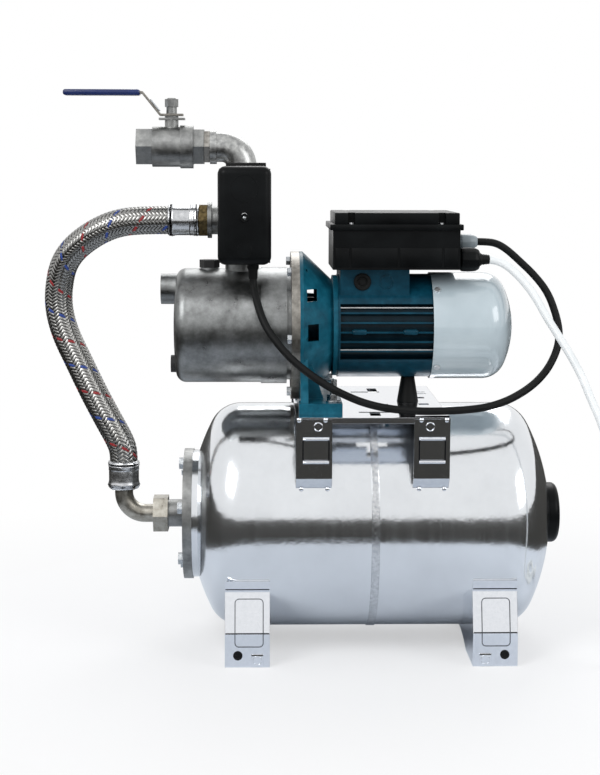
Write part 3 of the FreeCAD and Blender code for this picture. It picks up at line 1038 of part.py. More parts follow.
# Ball valve: two-piece body, seats, ball, stem, lever with sleeve and sliding lock
def ball_valve():
    bore = rod("valve_bore", "valve_length + 2", ("valve_left - 1", "0", "valve_z"))
    chamber = ball("ball_radius + ball_fit", ("ball_x", "0", "valve_z"))
    seat_space = rod("valve_bore + 3", "(ball_radius + ball_fit + 3) * 2",
                     ("ball_x - ball_radius - ball_fit - 3", "0", "valve_z"))
    parts = [hexagon("valve_hex", "valve_hex_length", ("valve_left", "0", "valve_z")),
             rod("valve_body_radius", "valve_length - valve_hex_length - valve_right_hex",
                 ("valve_left + valve_hex_length", "0", "valve_z")),
             rod("valve_collar_radius", "valve_collar_length",
                 ("valve_right - valve_right_hex - valve_collar_length", "0", "valve_z")),
             hexagon("valve_hex - 1", "valve_right_hex", ("valve_right - valve_right_hex", "0", "valve_z")),
             rod("stem_boss_radius", "stem_boss_up", ("ball_x", "0", "valve_z"), "Z"),
             block(("ball_x - lever_plate_half - 1", "-stem_boss_radius", "boss_z - 4.5"),
                   ("lever_plate_half * 2 + 3", "stem_boss_radius * 2", "lever_thick"))]
    ports = [rod("port_radius", "16", ("valve_left - 1", "0", "valve_z")),
             rod("port_radius", "13", ("valve_right - 12", "0", "valve_z"))]
    stem_bore = rod("stem_radius + shaft_fit", "stem_boss_up + 2", ("ball_x", "0", "valve_z"), "Z")
    node("valve_body", cut(fuse(*parts), fuse(bore, chamber, seat_space, *ports, stem_bore)))
    seats = []
    for start in ("ball_x - ball_radius - ball_fit - 2.8", "ball_x + ball_radius + ball_fit + 2.8 - seat_thick - 4.5"):
        ring = cut(rod("valve_bore + 2.9", "seat_thick + 4.5", (start, "0", "valve_z")),
                   rod("valve_bore", "40", (start + " - 10", "0", "valve_z")))
        seats.append(cut(ring, ball("ball_radius + ball_fit / 4", ("ball_x", "0", "valve_z"))))
    node("valve_seats", group(*seats))
    node("valve_ball", cut(ball("ball_radius", ("ball_x", "0", "valve_z")),
                           rod("valve_bore", "ball_radius * 2 + 2", ("ball_x - ball_radius - 1", "0", "valve_z")),
                           rod("stem_radius + thread_fit", "8", ("ball_x", "0", "valve_z + ball_radius - 3"), "Z")))
    stem = rod("stem_radius", "stem_top - ball_radius + 2.8", ("ball_x", "0", "valve_z + ball_radius - 2.8"), "Z")
    nut_z = "lever_z + lever_thick + thread_fit"
    nut = cut(fuse(hexagon("stem_nut_across", "stem_nut_thick", ("ball_x", "0", nut_z + " + stem_spacer"), "Z"),
                   rod("stem_nut_across / 2 - 0.6", "stem_spacer + 1", ("ball_x", "0", nut_z), "Z")),
              rod("stem_radius + thread_fit", "stem_nut_thick + stem_spacer + 2", ("ball_x", "0", "lever_z"), "Z"))
    node("valve_stem", group(stem, nut))

    strip = sheeted([
        ("ball_x + lever_plate_half", "lever_z"), ("ball_x + lever_plate_half", "lever_z + lever_thick"),
        ("ball_x - lever_plate_half + lever_ease", "lever_z + lever_thick"), ("handle_x", "handle_z"),
        ("lever_tip", "handle_z"), ("lever_tip", "handle_z - lever_thick"),
        ("handle_x - lever_ease", "handle_z - lever_thick"), ("ball_x - lever_plate_half", "lever_z"),
    ], "lever_half * 2", ("0", "lever_half", "0"), "front")
    node("valve_lever", cut(strip, rod("stem_radius + thread_fit", "lever_thick + 2", ("ball_x", "0", "lever_z - 1"), "Z")))
    grip = block(("lever_tip - 2", "-sleeve_half", "handle_z - lever_thick / 2 - sleeve_thick / 2"),
                 ("sleeve_length + 2", "sleeve_half * 2", "sleeve_thick"))
    node("lever_sleeve", cut(grip, block(("lever_tip - 0.1", "-lever_half - 0.1", "handle_z - lever_thick - 0.1"),
                                         ("sleeve_length + 2", "(lever_half + 0.1) * 2", "lever_thick + 0.2"))))
    spots = []
    for along, off in (("0", "0"), ("lock_length", "0"), ("lock_length", "lock_thick"), ("0", "lock_thick")):
        along, off = "(lock_start + %s)" % along, "(running_gap + %s)" % off
        spots.append((
            "ball_x - lever_plate_half + lever_ease + (%s * incline_rise - %s * incline_run) / incline_long"
            % (off, along),
            "lever_z + lever_thick + (%s * incline_run + %s * incline_rise) / incline_long" % (off, along)))
    node("lever_lock", sheeted(spots, "lock_half * 2", ("0", "lock_half", "0"), "front"))


# Union elbow and nut on the tank's stub
def union():
    middle = ("tank_hose_x + tank_elbow_bend", "0", "tank_bend_z")
    rotation = turn((-1, 0, 0), (0, 0, -1))

    def run(radius, more):
        return [quarter_bend("tank_elbow_bend", radius, middle, rotation),
                rod(radius, "ferrule_tail + spigot + " + more, ("tank_hose_x", "0", "tank_bend_z"), "Z"),
                rod(radius, "stub_end - tank_hose_x - tank_elbow_bend - thread_fit + " + more,
                    ("tank_hose_x + tank_elbow_bend", "0", "tank_z"), "X")]
    collar = rod("stub_root + 1.5", "stub_end - union_x - union_shoulder - 0.2",
                 ("union_x + union_shoulder + 0.1", "0", "tank_z"))
    node("union_elbow", cut(fuse(*run("tank_elbow_radius", "0"), collar), fuse(*run("tank_elbow_bore", "6"))))
    nut = cut(hexagon("union_across", "union_length", ("union_x", "0", "tank_z")),
              rod("tank_elbow_radius + running_gap", "union_length", ("union_x - 1", "0", "tank_z")),
              rod("thread_crest + thread_fit", "union_length", ("union_x + union_shoulder", "0", "tank_z")))
    node("union_nut", nut)


# The hose bows to the back, so that a suction pipe can go straight out past it. It comes down to its
# lower ferrule at this X, which is tank_hose_x in the real model.
HOSE_END = -295.02


# Cords: straight runs with the largest tangent arcs between them
def cord(name, start, points, end, radius):
    """The first and last points are where the real ends lie; the route moves with the ends."""
    spots = [V(*point) for point in points]
    moves = [V(*[number(text) for text in spot]) - real for spot, real in ((start, spots[0]), (end, spots[-1]))]
    share = 1.0 / (len(spots) - 1)
    spots = [spot + moves[0] * (1 - share * index) + moves[1] * share * index
             for index, spot in enumerate(spots)]
    radius = number(radius)
    edges, last, tightest, length = [], spots[0], None, 0.0
    for before, here, after in zip(spots, spots[1:], spots[2:]):
        arrive, leave = (here - before).normalize(), (after - here).normalize()
        reach = 0.45 * min((here - before).Length, (after - here).Length)
        half = arrive.getAngle(leave) / 2
        bend = reach / math.tan(half)
        start, end = here - arrive * reach, here + leave * reach
        middle = here + (leave - arrive).normalize() * (bend / math.cos(half) - bend)
        edges += [Part.LineSegment(last, start).toShape(), Part.Arc(start, middle, end).toShape()]
        last = end
        if tightest is None or bend < tightest[0]:
            tightest = (bend, here)
    edges.append(Part.LineSegment(last, spots[-1]).toShape())
    path = Part.Wire(edges)
    length = path.Length
    ring = Part.Wire([Part.Circle(spots[0], spots[1] - spots[0], radius).toShape()])
    thing = doc.addObject("Part::Feature", name)
    thing.Shape = path.makePipeShell([ring], True, False)
    expected = math.pi * radius ** 2 * length
    print("%s: %.0f mm long, tightest bend %.0f mm at %s, volume %.4f of its section times its length"
          % (name, length, tightest[0], tuple(round(n) for n in tightest[1]), thing.Shape.Volume / expected))
    node(name, thing)
    return length


def cords():
    cord("hose", ("ferrule_x", "0", "hose_z"), [
        (-240, 0, 512), (-272, 0, 512), (-302.1, 2, 508.4), (-329.9, 9, 496), (-355.1, 19, 477.4),
        (-370, 28, 456.5), (-376.3, 35.5, 428.2), (-377.1, 37.5, 406.1), (-372.8, 35.5, 384.5),
        (-364.7, 31.5, 363.4), (-353.3, 26, 341.7), (-333.8, 15, 303.5), (-314.3, 5.5, 269.1),
        (-300, 0.5, 244.9), (HOSE_END, 0, 231),
        (HOSE_END, 0, 218.5)], ("tank_hose_x", "0", "lower_ferrule_z + lower_ferrule_length"), "hose_radius")
    upper = cut(rod("ferrule_radius", "ferrule_length", ("ferrule_x", "0", "hose_z")),
                rod("port_radius", "nipple_grip + 1", ("hose_x - nipple_grip - 0.5", "0", "hose_z")))
    lower = cut(rod("ferrule_radius", "lower_ferrule_length", ("tank_hose_x", "0", "lower_ferrule_z"), "Z"),
                rod("tank_elbow_radius + thread_fit", "spigot + 2", ("tank_hose_x", "0", "lower_ferrule_z - 1"), "Z"))
    node("hose_ferrules", group(upper, lower))
    cord("switch_cable", ("switch_x + switch_gland_right", "switch_outlet_y", "switch_low - switch_gland_drop"), [
        (-137.3, -54.5, 457), (-137.3, -54.5, 442), (-136, -58.9, 430), (-131, -71, 413), (-126, -81, 399),
        (-117.5, -90, 383.3), (-96.3, -102, 357.8), (-72.5, -110, 338.8), (-48.7, -116, 323.6),
        (-30, -117.6, 314.5), (-9.3, -118.4, 306), (17.9, -119.2, 299.6), (51.9, -120, 296.8),
        (86.1, -118, 296.7), (121, -112, 298.2), (143, -106.5, 301.8), (165.3, -98, 308.9), (189.9, -86, 321.9),
        (208.1, -74, 337.9), (219.1, -64, 354.4), (225, -56, 368.5), (227, -48, 384), (223.6, -38, 404.5),
        (215, -30, 428.6), (199.6, -22, 448.5), (184, -16.5, 463.5), (170, -13.2, 476.5), (158.5, -12.3, 484),
        (147, -12, 487), (133, -12, 487)], ("gland_end", "-grey_gland_front", "grey_gland_z"), "cable_radius")
    length = cord("mains_lead", ("gland_end", "-black_gland_front", "black_gland_z"), [
        (133, -42, 467.2), (147, -42, 467.2), (160, -44.5, 463), (172.5, -50, 453), (185.9, -58, 438.1),
        (197, -66, 421.2), (206.3, -76, 402), (219.6, -90, 379.2), (231.3, -104, 358.1), (241.6, -118, 335.9),
        (249.3, -132, 312.1),
        (258, -144, 290), (266, -156, 262), (272, -166, 228), (276, -174, 190), (278.5, -179, 148),
        (281, -180.5, 104), (284, -177, 66), (287, -169, 36), (289.5, -154, 14.5), (291, -133, 5.2),
        (291, -108, 4.9)], ("coil_x - coil_mean - 5", "coil_y - 18", "lead_radius + 0.15"), "lead_radius")
    print("mains_coil: %.0f mm of lead" % (number("lead_length") - length))
    coil_spot = ("coil_x", "coil_y", "0")
    node("mains_coil", cut(rod("coil_mean + coil_half", "coil_height", coil_spot, "Z"),
                           rod("coil_mean - coil_half", "coil_height + 2", ("coil_x", "coil_y", "-1"), "Z")))
    tail_y = "coil_y + coil_mean + coil_half - 1.5"
    plug = turned([
        ("0", "0"), ("0", "lead_radius + 0.5"), ("plug_tail - 4", "lead_radius + 2"),
        ("plug_tail", "plug_round"), ("plug_tail + plug_length", "plug_round"),
        ("plug_tail + plug_length", "0")], ("coil_x", tail_y, "plug_round"), "Y")
    pins = [rod("pin_radius", "pin_length + 2", ("coil_x " + way + " pin_half",
                                                 tail_y + " + plug_tail + plug_length - 2", "plug_round"), "Y")
            for way in ("-", "+")]
    node("mains_plug", fuse(plug, *pins))


tank()
node("foot_left", foot(-1))
node("foot_right", foot(1))
node("pump_plate", pump_plate())
pump_casing()
pump_works()
node("motor_bracket", motor_bracket())
motor()
fan_cover()
rests()
terminal_box()
pressure_switch()
cover_screws()
riser()
elbow()
ball_valve()
union()
cords()

doc.recompute()
faults = ["%s (%s) did not compute" % (thing.Name, thing.Label) for thing in doc.Objects
          if "Invalid" in thing.State or "Error" in thing.State]
for name, thing in NODES.items():
    if thing.Shape.isNull() or not thing.Shape.isValid() or thing.Shape.Volume <= 0:
        faults.append(name + " has no sound shape")
    if thing.Label != name:
        faults.append("%s is labelled %s" % (name, thing.Label))
if faults:
    raise RuntimeError("\n".join(faults))

os.makedirs("parts", exist_ok=True)
for name, thing in NODES.items():
    thing.Shape.exportStep("parts/%s.step" % name)
    print("%-24s %d solid(s), %.1f cm3" % (name, len(thing.Shape.Solids), thing.Shape.Volume / 1000))
print("%d nodes" % len(NODES))
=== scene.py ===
import math

import bpy
import numpy as np
from mathutils import Matrix, Vector


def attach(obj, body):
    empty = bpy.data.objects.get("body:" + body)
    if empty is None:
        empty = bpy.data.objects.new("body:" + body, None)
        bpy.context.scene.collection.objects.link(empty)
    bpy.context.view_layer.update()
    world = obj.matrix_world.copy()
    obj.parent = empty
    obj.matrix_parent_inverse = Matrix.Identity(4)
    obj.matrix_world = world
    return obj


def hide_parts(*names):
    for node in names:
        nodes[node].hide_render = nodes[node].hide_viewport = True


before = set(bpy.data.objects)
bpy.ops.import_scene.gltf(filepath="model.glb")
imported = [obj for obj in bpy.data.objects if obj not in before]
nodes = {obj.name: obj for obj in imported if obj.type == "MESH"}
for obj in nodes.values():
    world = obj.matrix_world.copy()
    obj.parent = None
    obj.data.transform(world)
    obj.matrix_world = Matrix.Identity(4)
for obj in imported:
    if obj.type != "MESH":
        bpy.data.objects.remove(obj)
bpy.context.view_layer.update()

scene = bpy.context.scene

# Heights of the two axes that lie along X, in millimetres
PUMP_AXIS = 385
TANK_AXIS = 154


# Camera --------------------------------------------------------------------------------------
def point_camera():
    """A little left of the front and looking down, as the photograph was taken."""
    data = bpy.data.cameras.new("photo_camera")
    data.lens = 76.23
    data.sensor_width = 36
    data.shift_y = -0.1
    data.clip_end = 30
    camera = bpy.data.objects.new("photo_camera", data)
    scene.collection.objects.link(camera)
    pan, dip, roll = math.radians(-1.38), math.radians(-4.9), math.radians(0.131)
    aim = Matrix.Rotation(pan, 4, "Z")
    aim = aim @ Matrix.Rotation(math.pi / 2 + dip, 4, "X") @ Matrix.Rotation(roll, 4, "Z")
    camera.matrix_world = Matrix.Translation((-0.1283, -1.9836, 0.5734)) @ aim
    scene.camera = camera


point_camera()


# Materials -----------------------------------------------------------------------------------
def tone(code):
    """A hex sRGB colour as linear values."""
    parts = [int(code[i:i + 2], 16) / 255 for i in (1, 3, 5)]
    return [c / 12.92 if c <= 0.04045 else ((c + 0.055) / 1.055) ** 2.4 for c in parts] + [1.0]


def add(tree, kind, inputs=None, **settings):
    """One node: its settings, then each input set to a value or fed by another node's output."""
    made = tree.nodes.new("ShaderNode" + kind)
    for name, value in settings.items():
        setattr(made, name, value)
    for name, value in (inputs or {}).items():
        if isinstance(value, bpy.types.NodeSocket):
            tree.links.new(value, made.inputs[name])
        else:
            made.inputs[name].default_value = value
    return made


def ramp(tree, factor, *stops):
    """A colour ramp from (place, hex) stops."""
    made = add(tree, "ValToRGB", {"Fac": factor})
    band = made.color_ramp.elements
    while len(band) < len(stops):
        band.new(0.5)
    for element, (place, code) in zip(band, stops):
        element.position = place
        element.color = tone(code)
    return made.outputs["Color"]


def finish(name, **sockets):
    """A new material with a Principled shader and its object coordinates."""
    material = bpy.data.materials.new(name)
    material.use_nodes = True
    tree = material.node_tree
    shader = tree.nodes["Principled BSDF"]
    for socket, value in sockets.items():
        shader.inputs[socket.replace("_", " ")].default_value = value
    place = add(tree, "TexCoord").outputs["Object"]
    return material, tree, shader, place


def soft_edge(tree, radius=0.0007):
    """The normal with its sharp edges eased, as a brush or a mould leaves them."""
    return add(tree, "Bevel", {"Radius": radius}, samples=4).outputs[0]


def feed(tree, shader, colour=None, roughness=None, normal=None):
    for name, output in (("Base Color", colour), ("Roughness", roughness), ("Normal", normal)):
        if output is not None:
            tree.links.new(output, shader.inputs[name])


def noise(tree, place, scale, detail, roughness=0.5):
    return add(tree, "TexNoise", {"Vector": place, "Scale": scale, "Detail": detail,
                                  "Roughness": roughness}).outputs["Fac"]


def line_noise(tree, value, scale, detail, roughness=0.5):
    """Noise over one value, so it runs in lines where that value is the same."""
    return add(tree, "TexNoise", {"W": value, "Scale": scale, "Detail": detail, "Roughness": roughness},
               noise_dimensions="1D").outputs["Fac"]


def spread(tree, value, low, high, start=0.3, end=0.7):
    """A value's span from start to end, stretched over low to high."""
    return add(tree, "MapRange", {"Value": value, "From Min": start, "From Max": end, "To Min": low,
                                  "To Max": high}).outputs[0]


def mixed(tree, factor, first, second, blend="MIX"):
    return add(tree, "Mix", {"Factor": factor, "A": first, "B": second}, data_type="RGBA",
               blend_type=blend).outputs["Result"]


def relief(tree, height, strength, distance, under):
    """A bump laid over the normal under it."""
    return add(tree, "Bump", {"Height": height, "Strength": strength, "Distance": distance,
                              "Normal": under}).outputs[0]


def from_axis(tree, place, axis_mm):
    """Distance from an axis that lies along X, and the place along it."""
    moved = add(tree, "Mapping", {"Vector": place, "Location": (0, 0, -axis_mm / 1000)}).outputs[0]
    parts = add(tree, "SeparateXYZ", {"Vector": moved}).outputs
    flat = add(tree, "CombineXYZ", {"Y": parts["Y"], "Z": parts["Z"]}).outputs[0]
    return add(tree, "VectorMath", {0: flat}, operation="LENGTH").outputs["Value"], parts["X"]


def round_axis(tree, place, axis_mm):
    """Distance from a lying axis plus distance along it: lines of this value run round the axis."""
    radius, along = from_axis(tree, place, axis_mm)
    return add(tree, "Math", {0: radius, 1: along}, operation="ADD").outputs[0]


def polished_tank():
    # Bright-annealed 304 sheet, drawn and buffed: near-mirror with faint lines round the barrel
    material, tree, shader, place = finish("polished stainless steel, drawn tank shell", Metallic=1.0)
    rings = round_axis(tree, place, TANK_AXIS)
    lines = line_noise(tree, rings, 900, 3)
    bands = line_noise(tree, rings, 85, 4, 0.7)
    cloud = noise(tree, place, 14, 5, 0.65)
    colour = mixed(tree, cloud, tone("#d3d6da"), tone("#eceff2"))
    rough = spread(tree, bands, 0.12, 0.17)
    dents = add(tree, "Bump", {"Height": cloud, "Strength": 0.12, "Distance": 0.004}).outputs[0]
    feed(tree, shader, colour, rough, relief(tree, lines, 0.05, 0.0004, dents))
    return material


def bright_sheet():
    # Bent 304 sheet with a bright mill finish: small waviness and rubbing marks
    material, tree, shader, place = finish("bright stainless sheet, bent and punched", Metallic=1.0)
    waves = noise(tree, place, 22, 3)
    rub = noise(tree, place, 180, 6, 0.7)
    colour = mixed(tree, rub, tone("#d4d8de"), tone("#f0f2f6"))
    rough = spread(tree, rub, 0.05, 0.12, end=0.75)
    feed(tree, shader, colour, rough, relief(tree, waves, 0.06, 0.002, soft_edge(tree)))
    return material


def satin_casing():
    # Deep-drawn 304 casing, scrubbed by hand round its axis: satin lines and blotches
    material, tree, shader, place = finish("satin stainless steel, scrubbed round the casing", Metallic=1.0)
    lines = line_noise(tree, round_axis(tree, place, PUMP_AXIS), 1500, 4, 0.8)
    blotch = noise(tree, place, 45, 6, 0.7)
    colour = ramp(tree, blotch, (0.3, "#666767"), (0.5, "#818383"), (0.72, "#9a9c9c"))
    rough = spread(tree, blotch, 0.26, 0.42)
    scratch = add(tree, "Bump", {"Height": lines, "Strength": 0.22, "Distance": 0.0006}).outputs[0]
    feed(tree, shader, colour, rough, relief(tree, blotch, 0.12, 0.002, scratch))
    return material


def cast_fitting():
    # Investment-cast 316 fittings, shot-blasted: grey, matt, finely pitted
    material, tree, shader, place = finish("cast stainless steel, shot-blasted", Metallic=1.0)
    grit = noise(tree, place, 900, 4, 0.6)
    stain = noise(tree, place, 60, 5, 0.65)
    colour = ramp(tree, stain, (0.3, "#6f7070"), (0.55, "#8f908f"), (0.75, "#a9aaa8"))
    rough = spread(tree, stain, 0.32, 0.5)
    feed(tree, shader, colour, rough, relief(tree, grit, 0.3, 0.0004, soft_edge(tree)))
    return material


def small_metal(name, dark, light, low, high, scale=300, bump=0.15):
    """A metal worn in spots, from a dark to a light tone and from a low to a high roughness."""
    material, tree, shader, place = finish(name, Metallic=1.0)
    wear = noise(tree, place, scale, 5, 0.65)
    colour = ramp(tree, wear, (0.32, dark), (0.68, light))
    rough = spread(tree, wear, low, high)
    feed(tree, shader, colour, rough, relief(tree, wear, bump, 0.0005, soft_edge(tree)))
    return material


# The motor's radius in its grooves and at the fins' tips, in metres
FIN_ROOT, FIN_TIP = 0.0575, 0.0622


def petrol_paint(name, dark, middle, pale, fins=False):
    # Petrol-blue stoving enamel over an aluminium casting: orange peel, paler where it is rubbed
    material, tree, shader, place = finish(name, IOR=1.22, Coat_Weight=0.08, Coat_Roughness=0.1)
    peel = noise(tree, place, 420, 2)
    cast = noise(tree, place, 70, 5, 0.6)
    colour = ramp(tree, cast, (0.3, dark), (0.55, middle), (0.78, pale))
    if fins:
        # painted shade: the colour is darkened towards the grooves between the fins, and keeps its full tone
        # on the fins' tips
        radius, along = from_axis(tree, place, PUMP_AXIS)
        depth = spread(tree, radius, 0, 1, FIN_ROOT, FIN_TIP)
        painted_groove_shade = ramp(tree, depth, (0.0, "#868686"), (0.6, "#c4c4c4"), (1.0, "#ffffff"))
        colour = mixed(tree, 1.0, colour, painted_groove_shade, "MULTIPLY")
    rough = spread(tree, cast, 0.28, 0.42)
    skin = relief(tree, peel, 0.12, 0.0006, soft_edge(tree, 0.001))
    feed(tree, shader, colour, rough, relief(tree, cast, 0.15, 0.0015, skin))
    return material


def pale_paint():
    # Light grey gloss powder coat on a pressed steel cover
    material, tree, shader, place = finish("light grey powder coat on pressed steel", Coat_Weight=0.8,
                                           Coat_Roughness=0.05)
    peel = noise(tree, place, 260, 2)
    film = noise(tree, place, 18, 3)
    colour = ramp(tree, film, (0.3, "#a9b6bc"), (0.7, "#bac6cb"))
    rough = spread(tree, peel, 0.16, 0.26)
    skin = add(tree, "Bump", {"Height": peel, "Strength": 0.04, "Distance": 0.0008}).outputs[0]
    feed(tree, shader, colour, rough, skin)
    return material


def moulded(name, dark, light, low, high, grain=1400, bump=0.25, ior=1.5):
    """Injection-moulded plastic with a fine spark-eroded grain."""
    material, tree, shader, place = finish(name, IOR=ior)
    spark = noise(tree, place, grain, 3, 0.6)
    flow = noise(tree, place, 30, 4)
    colour = ramp(tree, flow, (0.3, dark), (0.7, light))
    rough = spread(tree, flow, low, high)
    feed(tree, shader, colour, rough, relief(tree, spark, bump, 0.0002, soft_edge(tree, 0.0012)))
    return material


FINISHES = {
    "polished_stainless": bright_sheet(),
    "satin_stainless": satin_casing(),
    "cast_stainless": cast_fitting(),
    # Zinc plate: blue-white, slightly cloudy
    "zinc_steel": small_metal("zinc-plated steel", "#a3a7ab", "#c6cacd", 0.2, 0.32, bump=0.05),
    # Ground and turned steel
    "bright_steel": small_metal("ground steel", "#b4b4b2", "#cdcdcb", 0.16, 0.28),
    # Old brass, browned by handling
    "brass": small_metal("brass, darkened", "#6b5f49", "#94866a", 0.3, 0.45),
    "teal_paint": petrol_paint("petrol-blue enamel on cast aluminium", "#052a37", "#083a4b", "#104d5f"),
    "grey_paint": pale_paint(),
    # Bare laminations with a thin rust bloom
    "motor_iron": small_metal("bare laminated iron", "#5a544e", "#7b736b", 0.45, 0.6),
    "black_plastic": moulded("black ABS, moulded", "#08090a", "#0f1112", 0.28, 0.4, ior=1.19),
    "works_plastic": moulded("glass-filled black plastic", "#1b1b1b", "#2a2a2a", 0.45, 0.6, ior=1.4),
    "grey_plastic": moulded("grey polyamide, moulded", "#7f898d", "#959ea2", 0.34, 0.45),
    "white_plastic": moulded("white urea plastic, moulded", "#e4e4df", "#f0efea", 0.25, 0.35),
    "white_lead": moulded("white PVC sheath, extruded", "#dfe2e2", "#ebeded", 0.3, 0.42, grain=500, bump=0.1),
    "black_rubber": moulded("black rubber, moulded", "#0b0c0c", "#151616", 0.42, 0.6, grain=900, bump=0.3,
                            ior=1.24),
    "blue_vinyl": moulded("navy vinyl, dipped", "#0c1c4c", "#14295f", 0.2, 0.32, grain=300, bump=0.15),
    # Turned aluminium sleeve, squeezed bright by the crimping jaws
    "ferrule_aluminium": small_metal("crimped aluminium", "#b9bbbe", "#d9dadc", 0.16, 0.3, scale=180),
    "braided_hose": moulded("rubber under the braid", "#1a1a1a", "#262626", 0.5, 0.65, ior=1.35),
}
TANK_STEEL = polished_tank()
# The bracket is a casting of its own in the motor barrel's enamel, painted a shade paler for the light that
# falls on it: painted light
LIT_BRACKET_PAINT = petrol_paint("paler petrol-blue enamel on the bracket", "#0a4152", "#125467", "#1d667b")
# The finned barrel's enamel, with painted shade darkening the grooves between the fins
MOTOR_PAINT = petrol_paint("petrol-blue enamel on the finned barrel", "#052e3d", "#08394a", "#10495c",
                           fins=True)
# Investment-cast elbow, brushed paler than the other fittings
ELBOW_METAL = small_metal("cast stainless elbow, brushed", "#8b8c8c", "#bdbebc", 0.28, 0.44, scale=150,
                          bump=0.2)
# Weld bead, scrubbed bright
WELD_METAL = small_metal("scrubbed weld bead", "#b4b7bb", "#dcdee1", 0.16, 0.28, scale=240, bump=0.15)
# Zinc-plated screw heads on the pale cover
SCREW_ZINC = small_metal("bright zinc screw heads", "#ced1d3", "#e8eaec", 0.36, 0.5, bump=0.05)
# Painted shade: the inside of a sharp fold in bright sheet mirrors only the fold and reads nearly black, so
# this stainless finish is painted nearly black
FOLD_SHADE = small_metal("stainless fold in shadow", "#1d1e21", "#33353a", 0.3, 0.4, bump=0.05)
# Painted shade: the steep edge of a shallow pressing turns its mirror away from the light, so its stainless
# finish is painted darker
PRESSED_EDGE_SHADE = small_metal("edge of a pressing in bright sheet, painted shade", "#56595e", "#7f8389", 0.3, 0.4, bump=0.05)
# Drawn steel rod, clean and bright
ROD = small_metal("drawn steel rod", "#b4b6b8", "#ced0d2", 0.2, 0.26, scale=40, bump=0.01)
# Nickel plate over brass, rubbed dull by the spanner
NICKEL = small_metal("nickel-plated brass", "#87837a", "#aeaba3", 0.26, 0.42, scale=140)
# Pressed stainless clamp ring, scrubbed with the casing
CLAMP_RING = small_metal("pressed stainless clamp ring", "#6f6c67", "#98958f", 0.3, 0.44, scale=120,
                         bump=0.06)


# The brass nipple sits left of this place and below this height, in metres
BRASS_LEFT_OF, BRASS_BELOW = -0.1855, 0.54


def nipple_metals():
    # Stainless nipples, but the one to the hose is brass gone brown: parted by where they sit
    material, tree, shader, place = finish("hexagon nipples, stainless and old brass", Metallic=1.0)
    parts = add(tree, "SeparateXYZ", {"Vector": place}).outputs
    left = add(tree, "Math", {0: parts["X"], 1: BRASS_LEFT_OF}, operation="LESS_THAN").outputs[0]
    low = add(tree, "Math", {0: parts["Z"], 1: BRASS_BELOW}, operation="LESS_THAN").outputs[0]
    brass = add(tree, "Math", {0: left, 1: low}, operation="MULTIPLY").outputs[0]
    wear = noise(tree, place, 260, 5)
    old = ramp(tree, wear, (0.32, "#3c3424"), (0.68, "#6b5d40"))
    steel = ramp(tree, wear, (0.32, "#7f7c77"), (0.68, "#a8a5a0"))
    rough = spread(tree, wear, 0.3, 0.45)
    colour = mixed(tree, brass, steel, old)
    feed(tree, shader, colour, rough, relief(tree, wear, 0.15, 0.0005, soft_edge(tree)))
    return material


def stranded(name, dark, light, metallic, low, high):
    """Seven wires or threads laid flat in one strand, with painted shade between them; U runs across it, V
    along it in metres.
    """
    material, tree, shader, place = finish(name, Metallic=metallic)
    across = add(tree, "SeparateXYZ", {"Vector": add(tree, "TexCoord").outputs["UV"]}).outputs["X"]
    wave = add(tree, "Math", {0: across, 1: math.tau * 7}, operation="MULTIPLY").outputs[0]
    wires = add(tree, "Math", {0: wave}, operation="COSINE").outputs[0]
    crown = spread(tree, wires, 1, 0.55, -1, 1)
    side = add(tree, "Math", {0: across, 1: 0.5}, operation="SUBTRACT").outputs[0]
    side = add(tree, "Math", {0: side}, operation="ABSOLUTE").outputs[0]
    edge = spread(tree, side, 1, 0.15, 0.36, 0.5)
    crown = add(tree, "Math", {0: crown, 1: edge}, operation="MULTIPLY").outputs[0]
    dirt = noise(tree, place, 500, 4)
    face = ramp(tree, dirt, (0.3, dark), (0.7, light))
    # painted shade: the colour darkens to a dark brown between the wires and towards the strand's edges
    colour = mixed(tree, crown, tone("#2a2826"), face)
    rough = spread(tree, dirt, low, high)
    bump = add(tree, "Bump", {"Height": crown, "Strength": 0.25, "Distance": 0.0002}).outputs[0]
    feed(tree, shader, colour, rough, bump)
    return material


# Stainless wire braid: each strand seven 0.5 mm wires side by side, bright on the crowns, with painted shade
# between them
BRAID_WIRE = stranded("stainless wire braid", "#93928f", "#b8b8b6", 1.0, 0.2, 0.34)
# Dyed polyamide tracer threads in the braid
RED_THREAD = stranded("red tracer thread", "#860d14", "#a8161d", 0.0, 0.4, 0.55)
BLUE_THREAD = stranded("blue tracer thread", "#0f3384", "#1a479f", 0.0, 0.4, 0.55)

for thing in nodes.values():
    for slot in thing.material_slots:
        slot.material = FINISHES[slot.material.name.split(".")[0]]
for name, metal in (("tank_shell_water_side", TANK_STEEL), ("tank_shell_air_side", TANK_STEEL),
                    ("union_nut", NICKEL), ("union_elbow", NICKEL), ("casing_flange_ring", CLAMP_RING),
                    ("pipe_nipples", nipple_metals()), ("casing_plugs", FINISHES["works_plastic"]),
                    ("valve_lever", CLAMP_RING), ("tie_rods", ROD), ("motor_bracket", LIT_BRACKET_PAINT),
                    ("motor_body", MOTOR_PAINT), ("elbow", ELBOW_METAL),
                    ("cover_screws", SCREW_ZINC)):
    for slot in nodes[name].material_slots:
        slot.material = metal


# Making tools, in millimetres ----------------------------------------------------------------
MM = 0.001
# Where a turned piece points: along +X, out to the front (-Y), or up
TURN = {"X": (0, math.pi / 2, 0), "front": (math.pi / 2, 0, 0), "Z": (0, 0, 0)}


def nothing_selected():
    bpy.ops.object.select_all(action="DESELECT")


def only(thing):
    nothing_selected()
    thing.select_set(True)
    bpy.context.view_layer.objects.active = thing


def bake_place():
    bpy.ops.object.transform_apply(location=True, rotation=True, scale=True)


